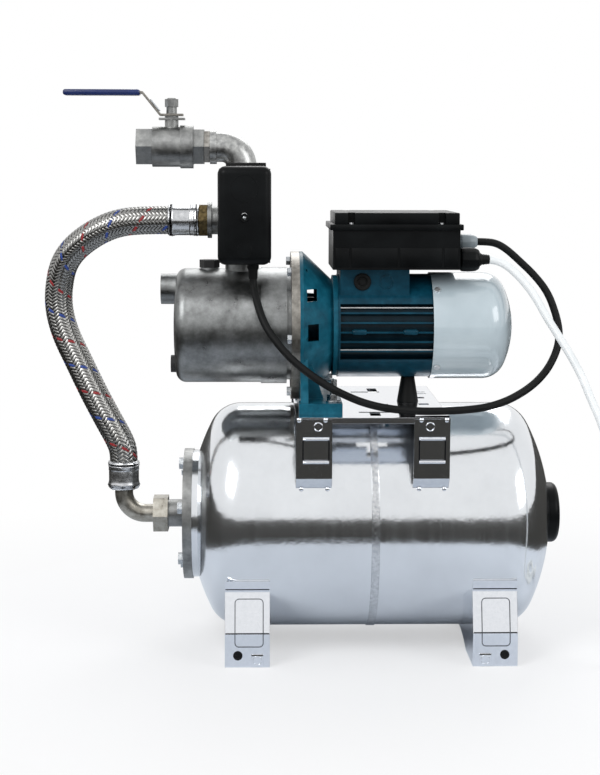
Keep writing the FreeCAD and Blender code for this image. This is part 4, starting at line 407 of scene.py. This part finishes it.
def settle(thing, name, material, body="base", smooth=40):
    """Puts a finished piece's place in its mesh, then names, shades and rides it.
    A material of FINISHES brings its own slot."""
    only(thing)
    bake_place()
    thing.name = thing.data.name = name
    thing.data.materials.clear()
    thing.data.materials.append(material)
    bpy.ops.object.shade_smooth_by_angle(angle=math.radians(smooth))
    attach(thing, body)
    return thing


def edit_mesh(select="SELECT"):
    bpy.ops.object.mode_set(mode="EDIT")
    bpy.ops.mesh.select_all(action=select)


def leave_mesh():
    """Turns every face outwards and goes back to object mode."""
    bpy.ops.mesh.select_all(action="SELECT")
    bpy.ops.mesh.normals_make_consistent(inside=False)
    bpy.ops.object.mode_set(mode="OBJECT")


def round_edges(thing, axis, least, offset, segments):
    """In edit mode, rounds the edges that run along an axis; least is how straight along it they run."""
    edit_mesh("DESELECT")
    bpy.ops.object.mode_set(mode="OBJECT")
    for edge in thing.data.edges:
        a, b = (thing.data.vertices[n].co for n in edge.vertices)
        edge.select = abs((b - a).normalized()[axis]) > least
    bpy.ops.object.mode_set(mode="EDIT")
    bpy.ops.mesh.bevel(offset=offset * MM, segments=segments, affect="EDGES")


def turned(name, profile, material, spot, axis="X", sides=48, smooth=35, round_corners=0.0,
           hollow=False):
    """A disc pulled out along its axis and resized at each (distance, radius) of its profile.
    hollow leaves the middle out, and the profile then closes on itself into a ring."""
    nothing_selected()
    along, radius = profile[0]
    bpy.ops.mesh.primitive_circle_add(vertices=sides, radius=radius * MM, location=(0, 0, along * MM),
                                      fill_type="NOTHING" if hollow else "NGON")
    thing = bpy.context.object
    bake_place()
    edit_mesh()
    for far, wide in profile[1:] + (profile[:1] if hollow else []):
        bpy.ops.mesh.extrude_region_move(TRANSFORM_OT_translate={"value": (0, 0, (far - along) * MM)})
        bpy.ops.transform.resize(value=(wide / radius, wide / radius, 1), center_override=(0, 0, far * MM))
        along, radius = far, wide
    if hollow:
        bpy.ops.mesh.select_all(action="SELECT")
        bpy.ops.mesh.remove_doubles(threshold=0.00001)
    if round_corners:
        round_edges(thing, 2, 0.7, round_corners, 3)
    leave_mesh()
    thing.rotation_euler = TURN[axis]
    thing.location = [value * MM for value in spot]
    return settle(thing, name, material, smooth=smooth)


def modified(thing, kind, **settings):
    """Adds a modifier; modifiers are applied in order by apply_all."""
    made = thing.modifiers.new(kind.lower(), kind)
    for name, value in settings.items():
        setattr(made, name, value)
    return made


def apply_all(thing):
    only(thing)
    for modifier in list(thing.modifiers):
        bpy.ops.object.modifier_apply(modifier=modifier.name)


def box(low, high, lean=0):
    """A plain box between two corners, leaning back by some degrees about X."""
    bpy.ops.mesh.primitive_cube_add(size=1, location=[(a + b) / 2 * MM for a, b in zip(low, high)],
                                    rotation=(math.radians(lean), 0, 0))
    thing = bpy.context.object
    thing.scale = [(b - a) * MM for a, b in zip(low, high)]
    return thing


def block(name, low, high, material, body="base", bevel=1.0, segments=3, corner=0.0, lean=0,
          notches=()):
    """A box with eased edges; corner rounds the edges that run along Y more, and notches are cut out of it
    as (low, high) boxes."""
    nothing_selected()
    thing = box(low, high, lean)
    bake_place()
    if corner:
        round_edges(thing, 1, 0.9, corner, 8)
        bpy.ops.object.mode_set(mode="OBJECT")
    modified(thing, "BEVEL", width=bevel * MM, segments=segments, limit_method="ANGLE",
             angle_limit=math.radians(40))
    apply_all(thing)
    for notch in notches:
        cutter = box(*notch)
        modified(thing, "BOOLEAN", operation="DIFFERENCE", object=cutter, solver="EXACT")
        apply_all(thing)
        bpy.data.meshes.remove(cutter.data)
    return settle(thing, name, material, body, 35)


def pressing(name, node, low, high, rim, proud, material, corner):
    """An outline pressed out of a sheet's front, between two (x, z) corners: a flat ring laid on the CAD node
    from the front, given its height and rounded. With no rim it is a plain strip."""
    before, sunk = -0.3, 0.5
    (x0, z0), (x1, z1) = low, high
    nothing_selected()
    bpy.ops.mesh.primitive_plane_add(size=1, location=((x0 + x1) / 2 * MM, before, (z0 + z1) / 2 * MM),
                                     rotation=(math.pi / 2, 0, 0))
    ring = bpy.context.object
    ring.scale = ((x1 - x0) * MM, (z1 - z0) * MM, 1)
    bake_place()
    edit_mesh()
    bpy.ops.mesh.bevel(offset=corner * MM, segments=5, affect="VERTICES")
    bpy.ops.mesh.select_all(action="SELECT")
    if rim:
        bpy.ops.mesh.inset(thickness=rim * MM, depth=0)
        bpy.ops.mesh.delete(type="FACE")
    bpy.ops.mesh.select_all(action="SELECT")
    bpy.ops.mesh.subdivide(number_cuts=5 if rim else 0)
    bpy.ops.object.mode_set(mode="OBJECT")
    modified(ring, "SHRINKWRAP", target=nodes[node], wrap_method="PROJECT", use_project_y=True,
             use_positive_direction=True, use_negative_direction=False)
    modified(ring, "SOLIDIFY", thickness=(proud + sunk) * MM, offset=(proud - sunk) / (proud + sunk))
    modified(ring, "BEVEL", width=proud * 0.6 * MM, segments=3, limit_method="ANGLE",
             angle_limit=math.radians(50))
    apply_all(ring)
    edit_mesh()
    leave_mesh()
    return settle(ring, name, material)


# Cords ---------------------------------------------------------------------------------------
def route(name, points_mm, radius):
    """A NURBS curve on the route's control points, whose radius is the cord's."""
    data = bpy.data.curves.new(name, "CURVE")
    data.dimensions = "3D"
    spline = data.splines.new("NURBS")
    spline.points.add(len(points_mm) - 1)
    for point, (x, y, z) in zip(spline.points, points_mm):
        point.co = (x / 1000, y / 1000, z / 1000, 1)
        point.radius = radius
    spline.order_u = 3
    spline.use_endpoint_u = True
    spline.resolution_u = 12
    data.bevel_depth = 1.0
    data.bevel_resolution = 6
    data.use_fill_caps = True
    thing = bpy.data.objects.new(name, data)
    scene.collection.objects.link(thing)
    return thing


def followed(thing):
    """The points of a route's own NURBS line."""
    bare = thing.data.copy()
    bare.bevel_depth = 0
    probe = bpy.data.objects.new("probe", bare)
    scene.collection.objects.link(probe)
    bpy.context.view_layer.update()
    line = bpy.data.meshes.new_from_object(probe)
    points = [vertex.co.copy() for vertex in line.vertices]
    bpy.data.meshes.remove(line)
    bpy.data.objects.remove(probe)
    bpy.data.curves.remove(bare)
    return points


HOSE = [(-240, 0, 512), (-272, 0, 512), (-302.1, 2, 508.4), (-329.9, 9, 496), (-355.1, 19, 477.4),
        (-370, 28, 456.5), (-376.3, 35.5, 428.2), (-377.1, 37.5, 406.1), (-372.8, 35.5, 384.5),
        (-364.7, 31.5, 363.4), (-353.3, 26, 341.7), (-333.8, 15, 303.5), (-314.3, 5.5, 269.1),
        (-300, 0.5, 244.9), (-295.02, 0, 231), (-295.02, 0, 218.5)]
SWITCH_CABLE = [
    (-137.3, -54.5, 457), (-137.3, -54.5, 442), (-136, -58.9, 430), (-131, -71, 413), (-126, -81, 399),
    (-117.5, -90, 383.3), (-96.3, -102, 357.8), (-72.5, -110, 338.8), (-48.7, -116, 323.6),
    (-30, -117.6, 314.5), (-9.3, -118.4, 306), (17.9, -119.2, 299.6), (51.9, -120, 296.8),
    (86.1, -118, 296.7), (121, -112, 298.2), (143, -106.5, 301.8), (165.3, -98, 308.9), (189.9, -86, 321.9),
    (208.1, -74, 337.9), (219.1, -64, 354.4), (225, -56, 368.5), (227, -48, 384), (223.6, -38, 404.5),
    (215, -30, 428.6), (199.6, -22, 448.5), (184, -16.5, 463.5), (170, -13.2, 476.5), (158.5, -12.3, 484),
    (147, -12, 487), (133, -12, 487)]
MAINS_LEAD = [
    (133, -42, 467.2), (147, -42, 467.2), (160, -44.5, 463), (172.5, -50, 453), (185.9, -58, 438.1),
    (197, -66, 421.2), (206.3, -76, 402), (219.6, -90, 379.2), (231.3, -104, 358.1), (241.6, -118, 335.9),
    (249.3, -132, 312.1), (258, -144, 290), (266, -156, 262), (272, -166, 228), (276, -174, 190),
    (278.5, -179, 148), (281, -180.5, 104), (284, -177, 66), (287, -169, 36), (289.5, -154, 14.5),
    (291, -133, 5.2), (291, -108, 4.9)]


# The put-away end: three turns laid flat on the floor, each inside the last, then over them to the plug
COIL_X, COIL_Y = 350, -90
COIL_POINTS = 16                        # control points in a turn
FIRST_ANGLE = 197                       # where the lead comes in, in degrees
OUTER_TURN, INNER_TURN = 58.6, 39       # radii of the first and the last turn
NEXT_TURN = 9.8                         # from one turn's middle to the next
STEPS_IN_AT = 0.6                       # the share of each turn after which it steps in beside its start
LAST_TURN = 2.6                         # the turn count from which the radius stays
LYING = 4.9                             # the middle of a lead that lies on the floor
# It climbs from this turn count on, within this share of a turn, by this height
CLIMBS_AT, CLIMBS_IN, CLIMB = 2.54, 0.25, 10.6


def coil_points():
    points = []
    for n in range(1, COIL_POINTS * 3 - 1):
        turn = n / COIL_POINTS
        stepped = int(turn) + max(0.0, (turn % 1 - STEPS_IN_AT) / (1 - STEPS_IN_AT))
        radius = OUTER_TURN - NEXT_TURN * stepped if turn < LAST_TURN else INNER_TURN
        angle = math.radians(FIRST_ANGLE - 360 * turn)
        # the last part turn climbs onto the turn beside it
        climbed = min(1.0, max(0.0, (turn - CLIMBS_AT) / CLIMBS_IN))
        points.append((COIL_X + radius * math.cos(angle), COIL_Y + radius * math.sin(angle),
                       LYING + CLIMB * climbed))
    return points


COIL_OUT = [(319.9, -114.8, 16.2), (312.7, -101.4, 16.6), (311.2, -90.5, 16.9), (313.5, -79.8, 17.2),
            (319.2, -70.4, 17.5), (327.6, -63.2, 17.6), (336.5, -57.2, 17.6), (343.4, -50.6, 17.5),
            (347.6, -42.8, 17.2), (349.5, -35.2, 17), (350, -28, 17)]
MAINS = MAINS_LEAD + coil_points() + COIL_OUT

hose_line = route("hose_rubber_tube", HOSE, 0.0158)
cable = route("switch_cable_run", SWITCH_CABLE, 0.0045)
mains = route("mains_lead_and_coil", MAINS, 0.00475)
for line, body_slot, stand_ins, look in (
        (hose_line, "braided_hose", ("hose",), "braided_hose"),
        (cable, "black_rubber", ("switch_cable",), "black_rubber"),
        (mains, "white_lead", ("mains_lead", "mains_coil"), "white_lead")):
    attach(line, "base")
    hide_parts(*stand_ins)
    line.data.materials.append(FINISHES[look])


def rail(thing, step, spare):
    """Even places along a route, and a little past its ends, with a carried frame: place, forward, side
    (starts at the front), up and distance walked."""
    line = [np.array(point) for point in followed(thing)]
    start = np.array(thing.data.splines[0].points[0].co[:3])
    if np.linalg.norm(line[0] - start) > 0.001:
        line = line[::-1]
    before = (line[0] - line[1]) / np.linalg.norm(line[0] - line[1])
    after = (line[-1] - line[-2]) / np.linalg.norm(line[-1] - line[-2])
    line = np.array([line[0] + before * spare] + line + [line[-1] + after * spare])
    walked = np.concatenate([[0], np.cumsum(np.linalg.norm(np.diff(line, axis=0), axis=1))])
    count = int(walked[-1] / step) + 1
    spots = np.array([[np.interp(far, walked, line[:, k]) for k in range(3)]
                      for far in np.linspace(0, walked[-1], count)])
    ahead = np.gradient(spots, axis=0)
    ahead /= np.linalg.norm(ahead, axis=1)[:, None]
    side = np.array([0.0, -1.0, 0.0])
    places = []
    for n in range(count):
        side = side - ahead[n] * side.dot(ahead[n])
        side /= np.linalg.norm(side)
        places.append((spots[n], ahead[n], side, np.cross(ahead[n], side), walked[-1] * n / (count - 1)))
    return places


# Wire braid: 16 strands each way, over two and under two, one turn in 72 mm
PITCH = 0.072
CARRIERS = 16
FIRST_STRAND = 0.472        # where strand 0 starts, as a share of a turn: it places the tracers
OVER_STRANDS = 0.0166       # the hose's radius where the strands cross
STRAND_MIDDLE = 0.0164
WEAVE = 0.00034             # how far a strand rises over the others and dips under them
# A strand's five-cornered section: across, and out from its middle
STRAND = [(-0.00172, -0.00012), (-0.0008, 0.00024), (0.0008, 0.00024), (0.00172, -0.00012), (0.0, -0.0003)]
ACROSS = [0.0, 0.27, 0.73, 1.0, 0.5, 0.0]


def strands(name, places, hand, carriers, material):
    """Flat strands wound one way round the hose, each in at its own starting angle."""
    slope = math.atan(math.tau * OVER_STRANDS / PITCH)
    corners = len(STRAND)
    points, faces, across = [], [], []
    for carrier in carriers:
        base = len(points)
        for spot, ahead, side, up, walked in places:
            turn = math.tau * (carrier / CARRIERS + FIRST_STRAND + hand * walked / PITCH)
            lift = WEAVE * math.tanh(1.6 * math.sin(CARRIERS / 2 * turn)) * -hand
            for wide, high in STRAND:
                angle = turn + wide * math.cos(slope) / OVER_STRANDS
                outward = side * math.cos(angle) + up * math.sin(angle)
                points.append(spot + ahead * (-hand * wide * math.sin(slope))
                              + outward * (STRAND_MIDDLE + lift + high))
        for n in range(len(places) - 1):
            low = base + n * corners
            high = low + corners
            for k in range(corners):
                after = (k + 1) % corners
                faces.append((low + k, low + after, high + after, high + k))
                across.append((k, k + 1, k + 1, k, places[n][4], places[n + 1][4]))
        last = base + (len(places) - 1) * corners
        for cap in (range(base + corners - 1, base - 1, -1), range(last, last + corners)):
            faces.append(tuple(cap))
            across.append(None)
    mesh = bpy.data.meshes.new(name)
    mesh.from_pydata([tuple(point) for point in points], [], faces)
    lay = mesh.uv_layers.new(name="UVMap")
    for face, row in zip(mesh.polygons, across):
        if row:
            for loop, u, v in zip(face.loop_indices, row[:4], (row[4], row[4], row[5], row[5])):
                lay.data[loop].uv = (ACROSS[u], v)
    thing = bpy.data.objects.new(name, mesh)
    scene.collection.objects.link(thing)
    only(thing)
    edit_mesh()
    leave_mesh()
    return settle(thing, name, material, smooth=60)


hose_places = rail(hose_line, 0.001, spare=0.002)
RED_CARRIER, BLUE_CARRIER = 0, 8
braid = [strands("hose_braid_right_hand", hose_places, 1, range(CARRIERS), BRAID_WIRE),
         strands("hose_braid_left_hand", hose_places, -1,
                 [n for n in range(CARRIERS) if n not in (RED_CARRIER, BLUE_CARRIER)], BRAID_WIRE),
         strands("hose_tracer_red", hose_places, -1, [RED_CARRIER], RED_THREAD),
         strands("hose_tracer_blue", hose_places, -1, [BLUE_CARRIER], BLUE_THREAD)]


# Floor and light -----------------------------------------------------------------------------
CARD_RADIUS = 0.56      # the pale disc under the object, and the inner edge of the dark card round it
CARD_TOP = 0.37
CARD_SPREAD = 4.7       # how much wider the card's upper edge is


def rays_seen(tree):
    """1 for what the camera, metal or glass looks at, 0 for the light that falls on things."""
    rays = add(tree, "LightPath").outputs
    eye, metal, glass = (rays["Is %s Ray" % kind] for kind in ("Camera", "Glossy", "Transmission"))
    seen = add(tree, "Math", {0: eye, 1: metal}, operation="MAXIMUM").outputs[0]
    return add(tree, "Math", {0: seen, 1: glass}, operation="MAXIMUM").outputs[0]


def studio_floor():
    nothing_selected()
    bpy.ops.mesh.primitive_plane_add(size=16, location=(0, 2, 0))
    floor = bpy.context.object
    floor.name = "studio_floor"
    # White paper: near the object its shadow is kept, further off it is plain white to the eye and in metal
    material, tree, shader, place = finish("matt white studio paper", Roughness=0.85)
    shader.inputs["Base Color"].default_value = tone("#e8e8e9")
    middle = add(tree, "Mapping", {"Vector": place, "Location": (0, 2, 0)}).outputs[0]
    away = add(tree, "VectorMath", {0: middle}, operation="LENGTH").outputs["Value"]
    fade = spread(tree, away, 0.5, 1.0, 0.25, 0.9)
    share = add(tree, "Math", {0: rays_seen(tree), 1: fade}, operation="MULTIPLY").outputs[0]
    glow = add(tree, "Emission", {"Color": (1, 1, 1, 1), "Strength": 1.0}).outputs[0]
    paper = add(tree, "MixShader", {0: share, 1: shader.outputs[0], 2: glow}).outputs[0]
    tree.links.new(paper, tree.nodes["Material Output"].inputs["Surface"])
    floor.data.materials.append(material)


def only_in_metal(sheet, name, material):
    """A sheet of the studio that bright metal mirrors and no camera sees."""
    sheet.name = name
    sheet.data.materials.append(material)
    sheet.visible_camera = sheet.visible_diffuse = sheet.visible_shadow = sheet.visible_transmission = False


def dark_card():
    # A low dark card round the object, which gives bright metal its dark bands
    nothing_selected()
    bpy.ops.mesh.primitive_circle_add(vertices=96, radius=CARD_RADIUS, fill_type="NOTHING",
                                      location=(0, 0, 0.001))
    card = bpy.context.object
    edit_mesh()
    bpy.ops.mesh.extrude_region_move(TRANSFORM_OT_translate={"value": (0, 0, CARD_TOP)})
    bpy.ops.transform.resize(value=(CARD_SPREAD, CARD_SPREAD, 1), center_override=(0, 0, CARD_TOP))
    bpy.ops.object.mode_set(mode="OBJECT")
    material, tree, shader, place = finish("dark studio card", Roughness=1.0)
    shader.inputs["Base Color"].default_value = tone("#000000")
    shader.inputs["Emission Color"].default_value = tone("#1f1d17")
    shader.inputs["Emission Strength"].default_value = 1.0
    only_in_metal(card, "dark_studio_card", material)


def pale_disc():
    # Inside the card a grey paper disc under the object, which metal mirrors with the object's shadow on it
    nothing_selected()
    bpy.ops.mesh.primitive_circle_add(vertices=96, radius=CARD_RADIUS, fill_type="NGON",
                                      location=(0, 0, 0.0005))
    material, tree, shader, place = finish("grey studio paper", Roughness=1.0)
    shader.inputs["Base Color"].default_value = tone("#d5dae1")
    only_in_metal(bpy.context.object, "grey_paper_disc", material)


def world_light():
    world = bpy.data.worlds.new("studio")
    world.use_nodes = True
    scene.world = world
    tree = world.node_tree
    tree.nodes.clear()
    light = add(tree, "Background", {"Color": tone("#f2f5f9"), "Strength": 0.7}).outputs[0]
    white = add(tree, "Background", {"Color": (1, 1, 1, 1), "Strength": 1.0}).outputs[0]
    mixed = add(tree, "MixShader", {0: rays_seen(tree), 1: light, 2: white}).outputs[0]
    add(tree, "OutputWorld", {"Surface": mixed})


def softboxes():
    aim = Vector((0, 0, 0.3))
    for name, spot, size, power in (("key_softbox", (-1.6, -1.9, 2.2), 1.4, 42),
                                    ("fill_softbox", (1.9, -1.5, 1.4), 1.2, 18),
                                    ("back_softbox", (0.3, 1.8, 2.0), 1.4, 24)):
        data = bpy.data.lights.new(name, "AREA")
        data.size = size
        data.energy = power
        lamp = bpy.data.objects.new(name, data)
        scene.collection.objects.link(lamp)
        lamp.location = spot
        lamp.rotation_euler = (aim - Vector(spot)).to_track_quat("-Z", "Y").to_euler()


studio_floor()
dark_card()
pale_disc()
world_light()
softboxes()
scene.view_settings.view_transform = "Standard"


# Pieces --------------------------------------------------------------------------------------
ABS = FINISHES["black_plastic"]
ALU = FINISHES["ferrule_aluminium"]
RUBBER = FINISHES["black_rubber"]
SHEET = FINISHES["polished_stainless"]
TEAL = FINISHES["teal_paint"]

# Crimped hose ends: eight flats between a flared mouth and a rolled bead; the lower one is shorter
CRIMP = [(0, 19.2), (0.6, 20.1), (6, 19.7), (8.5, 18.4), (10.5, 19.0), (30, 19.0), (32, 20.0), (36, 19.8),
         (38, 18.0)]
UPPER_LENGTH, LOWER_LENGTH = 38, 33
UPPER_CRIMP = [(-far, wide) for far, wide in reversed(CRIMP)]
LOWER_CRIMP = [(LOWER_LENGTH - far * LOWER_LENGTH / UPPER_LENGTH, wide) for far, wide in reversed(CRIMP)]
for name, profile, spot, axis in (("hose_crimp_upper", UPPER_CRIMP, (-202, 0, 512), "X"),
                                  ("hose_crimp_lower", LOWER_CRIMP, (-295.02, 0, 185.5), "Z")):
    crimp = turned(name, profile, ALU, spot, axis, sides=8, round_corners=3.4)
    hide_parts("hose_ferrules")

# The tank's weld: a band between two fine beads
GIRTH = [(-4.6, 134.5), (-4.6, 135.8), (-4.2, 136.2), (-3.4, 136.0), (3.4, 136.0), (4.2, 136.2), (4.6, 135.8),
         (4.6, 134.5)]
turned("tank_girth_weld", GIRTH, WELD_METAL, (4, 0, TANK_AXIS), sides=160,
       hollow=True)

# The thread between flange and union nut
THREAD_PITCH, THREAD_ROOT = 2.2, 15.0
THREAD = [(0, THREAD_ROOT)]
for n in range(8):
    for part, wide in ((0.3, 15.8), (1.1, 16.5), (1.9, 15.8)):
        THREAD.append((n * THREAD_PITCH + part, wide))
THREAD.append((18, THREAD_ROOT))
turned("flange_thread", THREAD, CLAMP_RING, (-241, 0, TANK_AXIS), sides=40, smooth=20)

# Lever sleeve: dipped vinyl, thick in the middle and closed at its far end
grip = block("lever_grip", (-364, -11.5, 661), (-272, 11.5, 668.1), FINISHES["blue_vinyl"], "lever",
             bevel=3.0, segments=5)
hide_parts("lever_sleeve")

# Pressure switch: cover with its sunk screw, plain rings in place of the signs, gasket behind the top
SWITCH_X, SWITCH_FRONT = -147, -94.7
cover = block("switch_front_cover", (-178, -95, 463), (-116, -62, 577), ABS, bevel=5.5, segments=6,
              corner=9.5)
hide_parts("switch_cover")
block("switch_top_gasket", (-169, -60, 573), (-122, -36, 581), RUBBER, bevel=0.8, segments=2)
SCREW = (SWITCH_X, -94.6, 517.5)
turned("switch_screw_well", [(0, 5.4), (1.2, 5.4), (1.6, 4.9), (1.6, 3.4), (1.3, 3.2)], ABS, SCREW, "front",
       sides=32)
turned("switch_screw", [(1.0, 1.9), (1.6, 1.9), (1.8, 1.5)], FINISHES["zinc_steel"], SCREW, "front", sides=24)
turned("switch_dial_ring", [(-1, 16.4), (0.35, 16.2), (0.35, 15.2), (-1, 15.0)], ABS,
       (SWITCH_X, SWITCH_FRONT, 551), "front", sides=56, hollow=True)
turned("switch_lower_ring", [(-1, 9.0), (0.35, 8.8), (0.35, 8.0), (-1, 7.8)], ABS,
       (SWITCH_X, SWITCH_FRONT, 480), "front", sides=40, hollow=True)

# Terminal box: lid with a lip, and a crown set in from it with four open notches over its screws
NOTCH_HALF, NOTCH_DEPTH = 4.2, 12.5
NOTCHES = [((x - NOTCH_HALF, y, 509.4), (x + NOTCH_HALF, y + NOTCH_DEPTH, 530))
           for x in (-22, 84.5) for y in (-68, 55.5)]
lip = block("box_lid_lip", (-47, -68.5, 502.5), (109.5, 68.5, 509.5), ABS, bevel=1.2)
crown = block("box_lid_crown", (-41.5, -66, 508), (105, 66, 523), ABS, bevel=1.4, notches=NOTCHES)
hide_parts("terminal_box_lid")
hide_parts("terminal_box_lid")
for number, (x0, x1) in enumerate(((-41, -24.6), (-22, 32.4), (35, 84.6), (87.2, 103.5)), 1):
    block("box_front_panel_%d" % number, (x0, -65.7, 459), (x1, -64, 482), ABS, bevel=0.5, segments=2)

# Cable glands at the box's right end, the white lead's strain relief and the switch cable's bush
BLACK_GLAND, GREY_GLAND = (0, -42, 467.2), (0, -12, 487)
BLACK_NUT = [(97.5, 9), (105, 9), (105, 11.6), (108.5, 11.6), (109.3, 14.6), (118, 15), (126, 14.4),
             (130, 12.4), (131.5, 9.6)]
STRAIN_RELIEF = [(121, 8.4), (131.8, 8.2), (134, 6.8), (134.6, 6.2), (137, 6.4), (137.6, 5.8), (140, 6.0),
                 (140.6, 5.5), (142.4, 5.6), (143.4, 5.1)]
GREY_NUT = [(97.5, 6.5), (106, 6.5), (106, 9.3), (110, 9.3), (110.6, 8.4), (112.5, 8.4), (113.2, 9.5),
            (124, 9.1), (129, 7.8), (132.6, 5.6)]
black_nut = turned("black_gland_nut", BLACK_NUT, ABS, BLACK_GLAND, sides=10, round_corners=1.1)
turned("mains_lead_strain_relief", STRAIN_RELIEF, RUBBER, BLACK_GLAND, sides=32)
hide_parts("cable_gland_black")
grey_nut = turned("grey_gland_nut", GREY_NUT, FINISHES["grey_plastic"], GREY_GLAND, sides=12,
                  round_corners=0.9)
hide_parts("cable_gland_grey")
turned("switch_cable_bush", [(-12, 5.3), (-3, 5.6), (0, 6.4), (2, 6.4)], RUBBER, (-137.3, -54.5, 457), "Z",
       sides=32)

# The bracket's inner nose, which closes the view through its windows
turned("bracket_nose", [(-80, 30), (-80, 34), (-44, 34), (-44, 30)], TEAL, (0, 0, PUMP_AXIS), sides=64,
       hollow=True)

# Motor: cable grommet and plain round boss on the pad, two oval bosses on the middle fin
GROMMET = [(0, 10.2), (2.2, 10.2), (3, 9.4), (3, 6.2), (1.6, 5.4), (1.6, 4.2), (2.4, 3.8)]
turned("pad_grommet", GROMMET, RUBBER, (-7.9, -47.2, 440.8), "front", sides=40)
turned("pad_round_boss", [(-1, 8.4), (0.9, 8.2), (1.1, 7.6), (1.1, 6.9), (0.4, 6.6), (-1, 6.4)], TEAL,
       (20.8, -47.8, 440.8), "front", sides=40, hollow=True)
for number, x in enumerate((-11.8, 48.8), 1):
    block("fin_boss_%d" % number, (x - 9, -64.5, 379), (x + 9, -57, 385.4), TEAL, bevel=2.8, segments=4)

# Plate legs: a window outline between two ribs, its rim painted dark as shade, and a round knockout a little
# off the leg's middle
LEG_FRONT = -136.8
KNOCKOUT = [(-1.5, 5.4), (0.2, 5.3), (0.6, 4.9), (0.6, 4.5), (0.2, 4.2), (-1.5, 4.1)]
for side, x, off in (("left", -80.7, 2.5), ("right", 52.1, -2.5)):
    pressing("leg_window_" + side, "pump_plate", (x, 241.4), (x + 31, 266.9), 1.4, 0.9, FOLD_SHADE,
             2.5)
    turned("leg_knockout_" + side, KNOCKOUT, SHEET, (x + 15.5 + off, LEG_FRONT, 281.5), "front", sides=40,
           hollow=True)
    for step, z in (("top", 267.5), ("foot", 240.8)):
        block("leg_%s_rib_%s" % (side, step), (x + 0.5, -138.2, z - 1.5), (x + 30.5, -135.2, z + 1.5), SHEET,
              bevel=0.5, segments=2, lean=45)

# Weld beads at the plate's corners and under its legs
BEAD = [(-1.2, 2.9), (0.3, 2.8), (1.3, 2.2), (1.9, 1.1)]
for number, (x, low_x) in enumerate(((-84.5, -81.5), (-54.5, -51.5), (55.0, 54.0), (84.0, 83.0)), 1):
    turned("plate_weld_top_%d" % number, BEAD, SHEET, (x, -136.6, 289.2), "front", sides=20)
    turned("plate_weld_low_%d" % number, BEAD, SHEET, (low_x, -124.2, 207.5), "front", sides=20)

# Feet: an arched pad at the lower inner corner, which closes the notch at the front, a black disc in the hole
# as painted shade for the dark seen through it, a raised panel with its rim painted darker as shade, and the
# two folds as dark lines of painted shade
FOOT_FRONT = -130.4
ARCH = [(-0.8, 5.6), (0.3, 5.5), (0.45, 5.1), (0.3, 4.7), (-0.8, 4.6)]
HOLE_SHADE_DISC = [(-2.5, 4.0), (-0.3, 4.9), (0.3, 5.4), (0.7, 5.1), (0.8, 3.7), (0.1, 3.0), (0.1, 1.0)]
for side, panel_x, pad_x, hole_x, foot_x in (("left", -158.3, -132, -154.5, -169.5),
                                             ("right", 127.5, 132, 154.5, 117.5)):
    foot = "foot_" + side
    block("foot_pad_" + side, (pad_x - 7, -130.5, 0.3), (pad_x + 7, -129.3, 15.8), SHEET, bevel=0.4,
          segments=2)
    turned("foot_arch_" + side, ARCH, SHEET, (pad_x, FOOT_FRONT, 8.2), "front", sides=40, hollow=True)
    # painted shade: a black rubber disc fills the open hole, standing for the dark seen through it
    turned("foot_stopper_" + side, HOLE_SHADE_DISC, RUBBER, (hole_x, FOOT_FRONT, 14), "front", sides=40)
    pressing("foot_panel_" + side, foot, (panel_x, 23.7), (panel_x + 33.6, 78.8), 1.1, 0.7, PRESSED_EDGE_SHADE,
             5.0)
    # painted shade: dark strips laid along the two folds
    for part, z in (("toe", 39.2), ("top", 88.6)):
        pressing("foot_%s_fold_%s" % (part, side), foot, (foot_x + 0.6, z), (foot_x + 51.4, z + 1.3), 0, 0.25,
                 FOLD_SHADE, 0.3)


def coil_tie():
    """The flat band that holds the coil's turns together."""
    nothing_selected()
    bpy.ops.mesh.primitive_torus_add(location=(0.3993, -0.09, 0.0069), major_segments=40, minor_segments=8,
                                     major_radius=0.0078, minor_radius=0.0012)
    tie = bpy.context.object
    tie.rotation_euler = (math.pi / 2, 0, 0)
    tie.scale = (2.05, 0.72, 1.6)
    return settle(tie, "coil_tie", ABS, smooth=60)


tie = coil_tie()

bpy.context.view_layer.update()
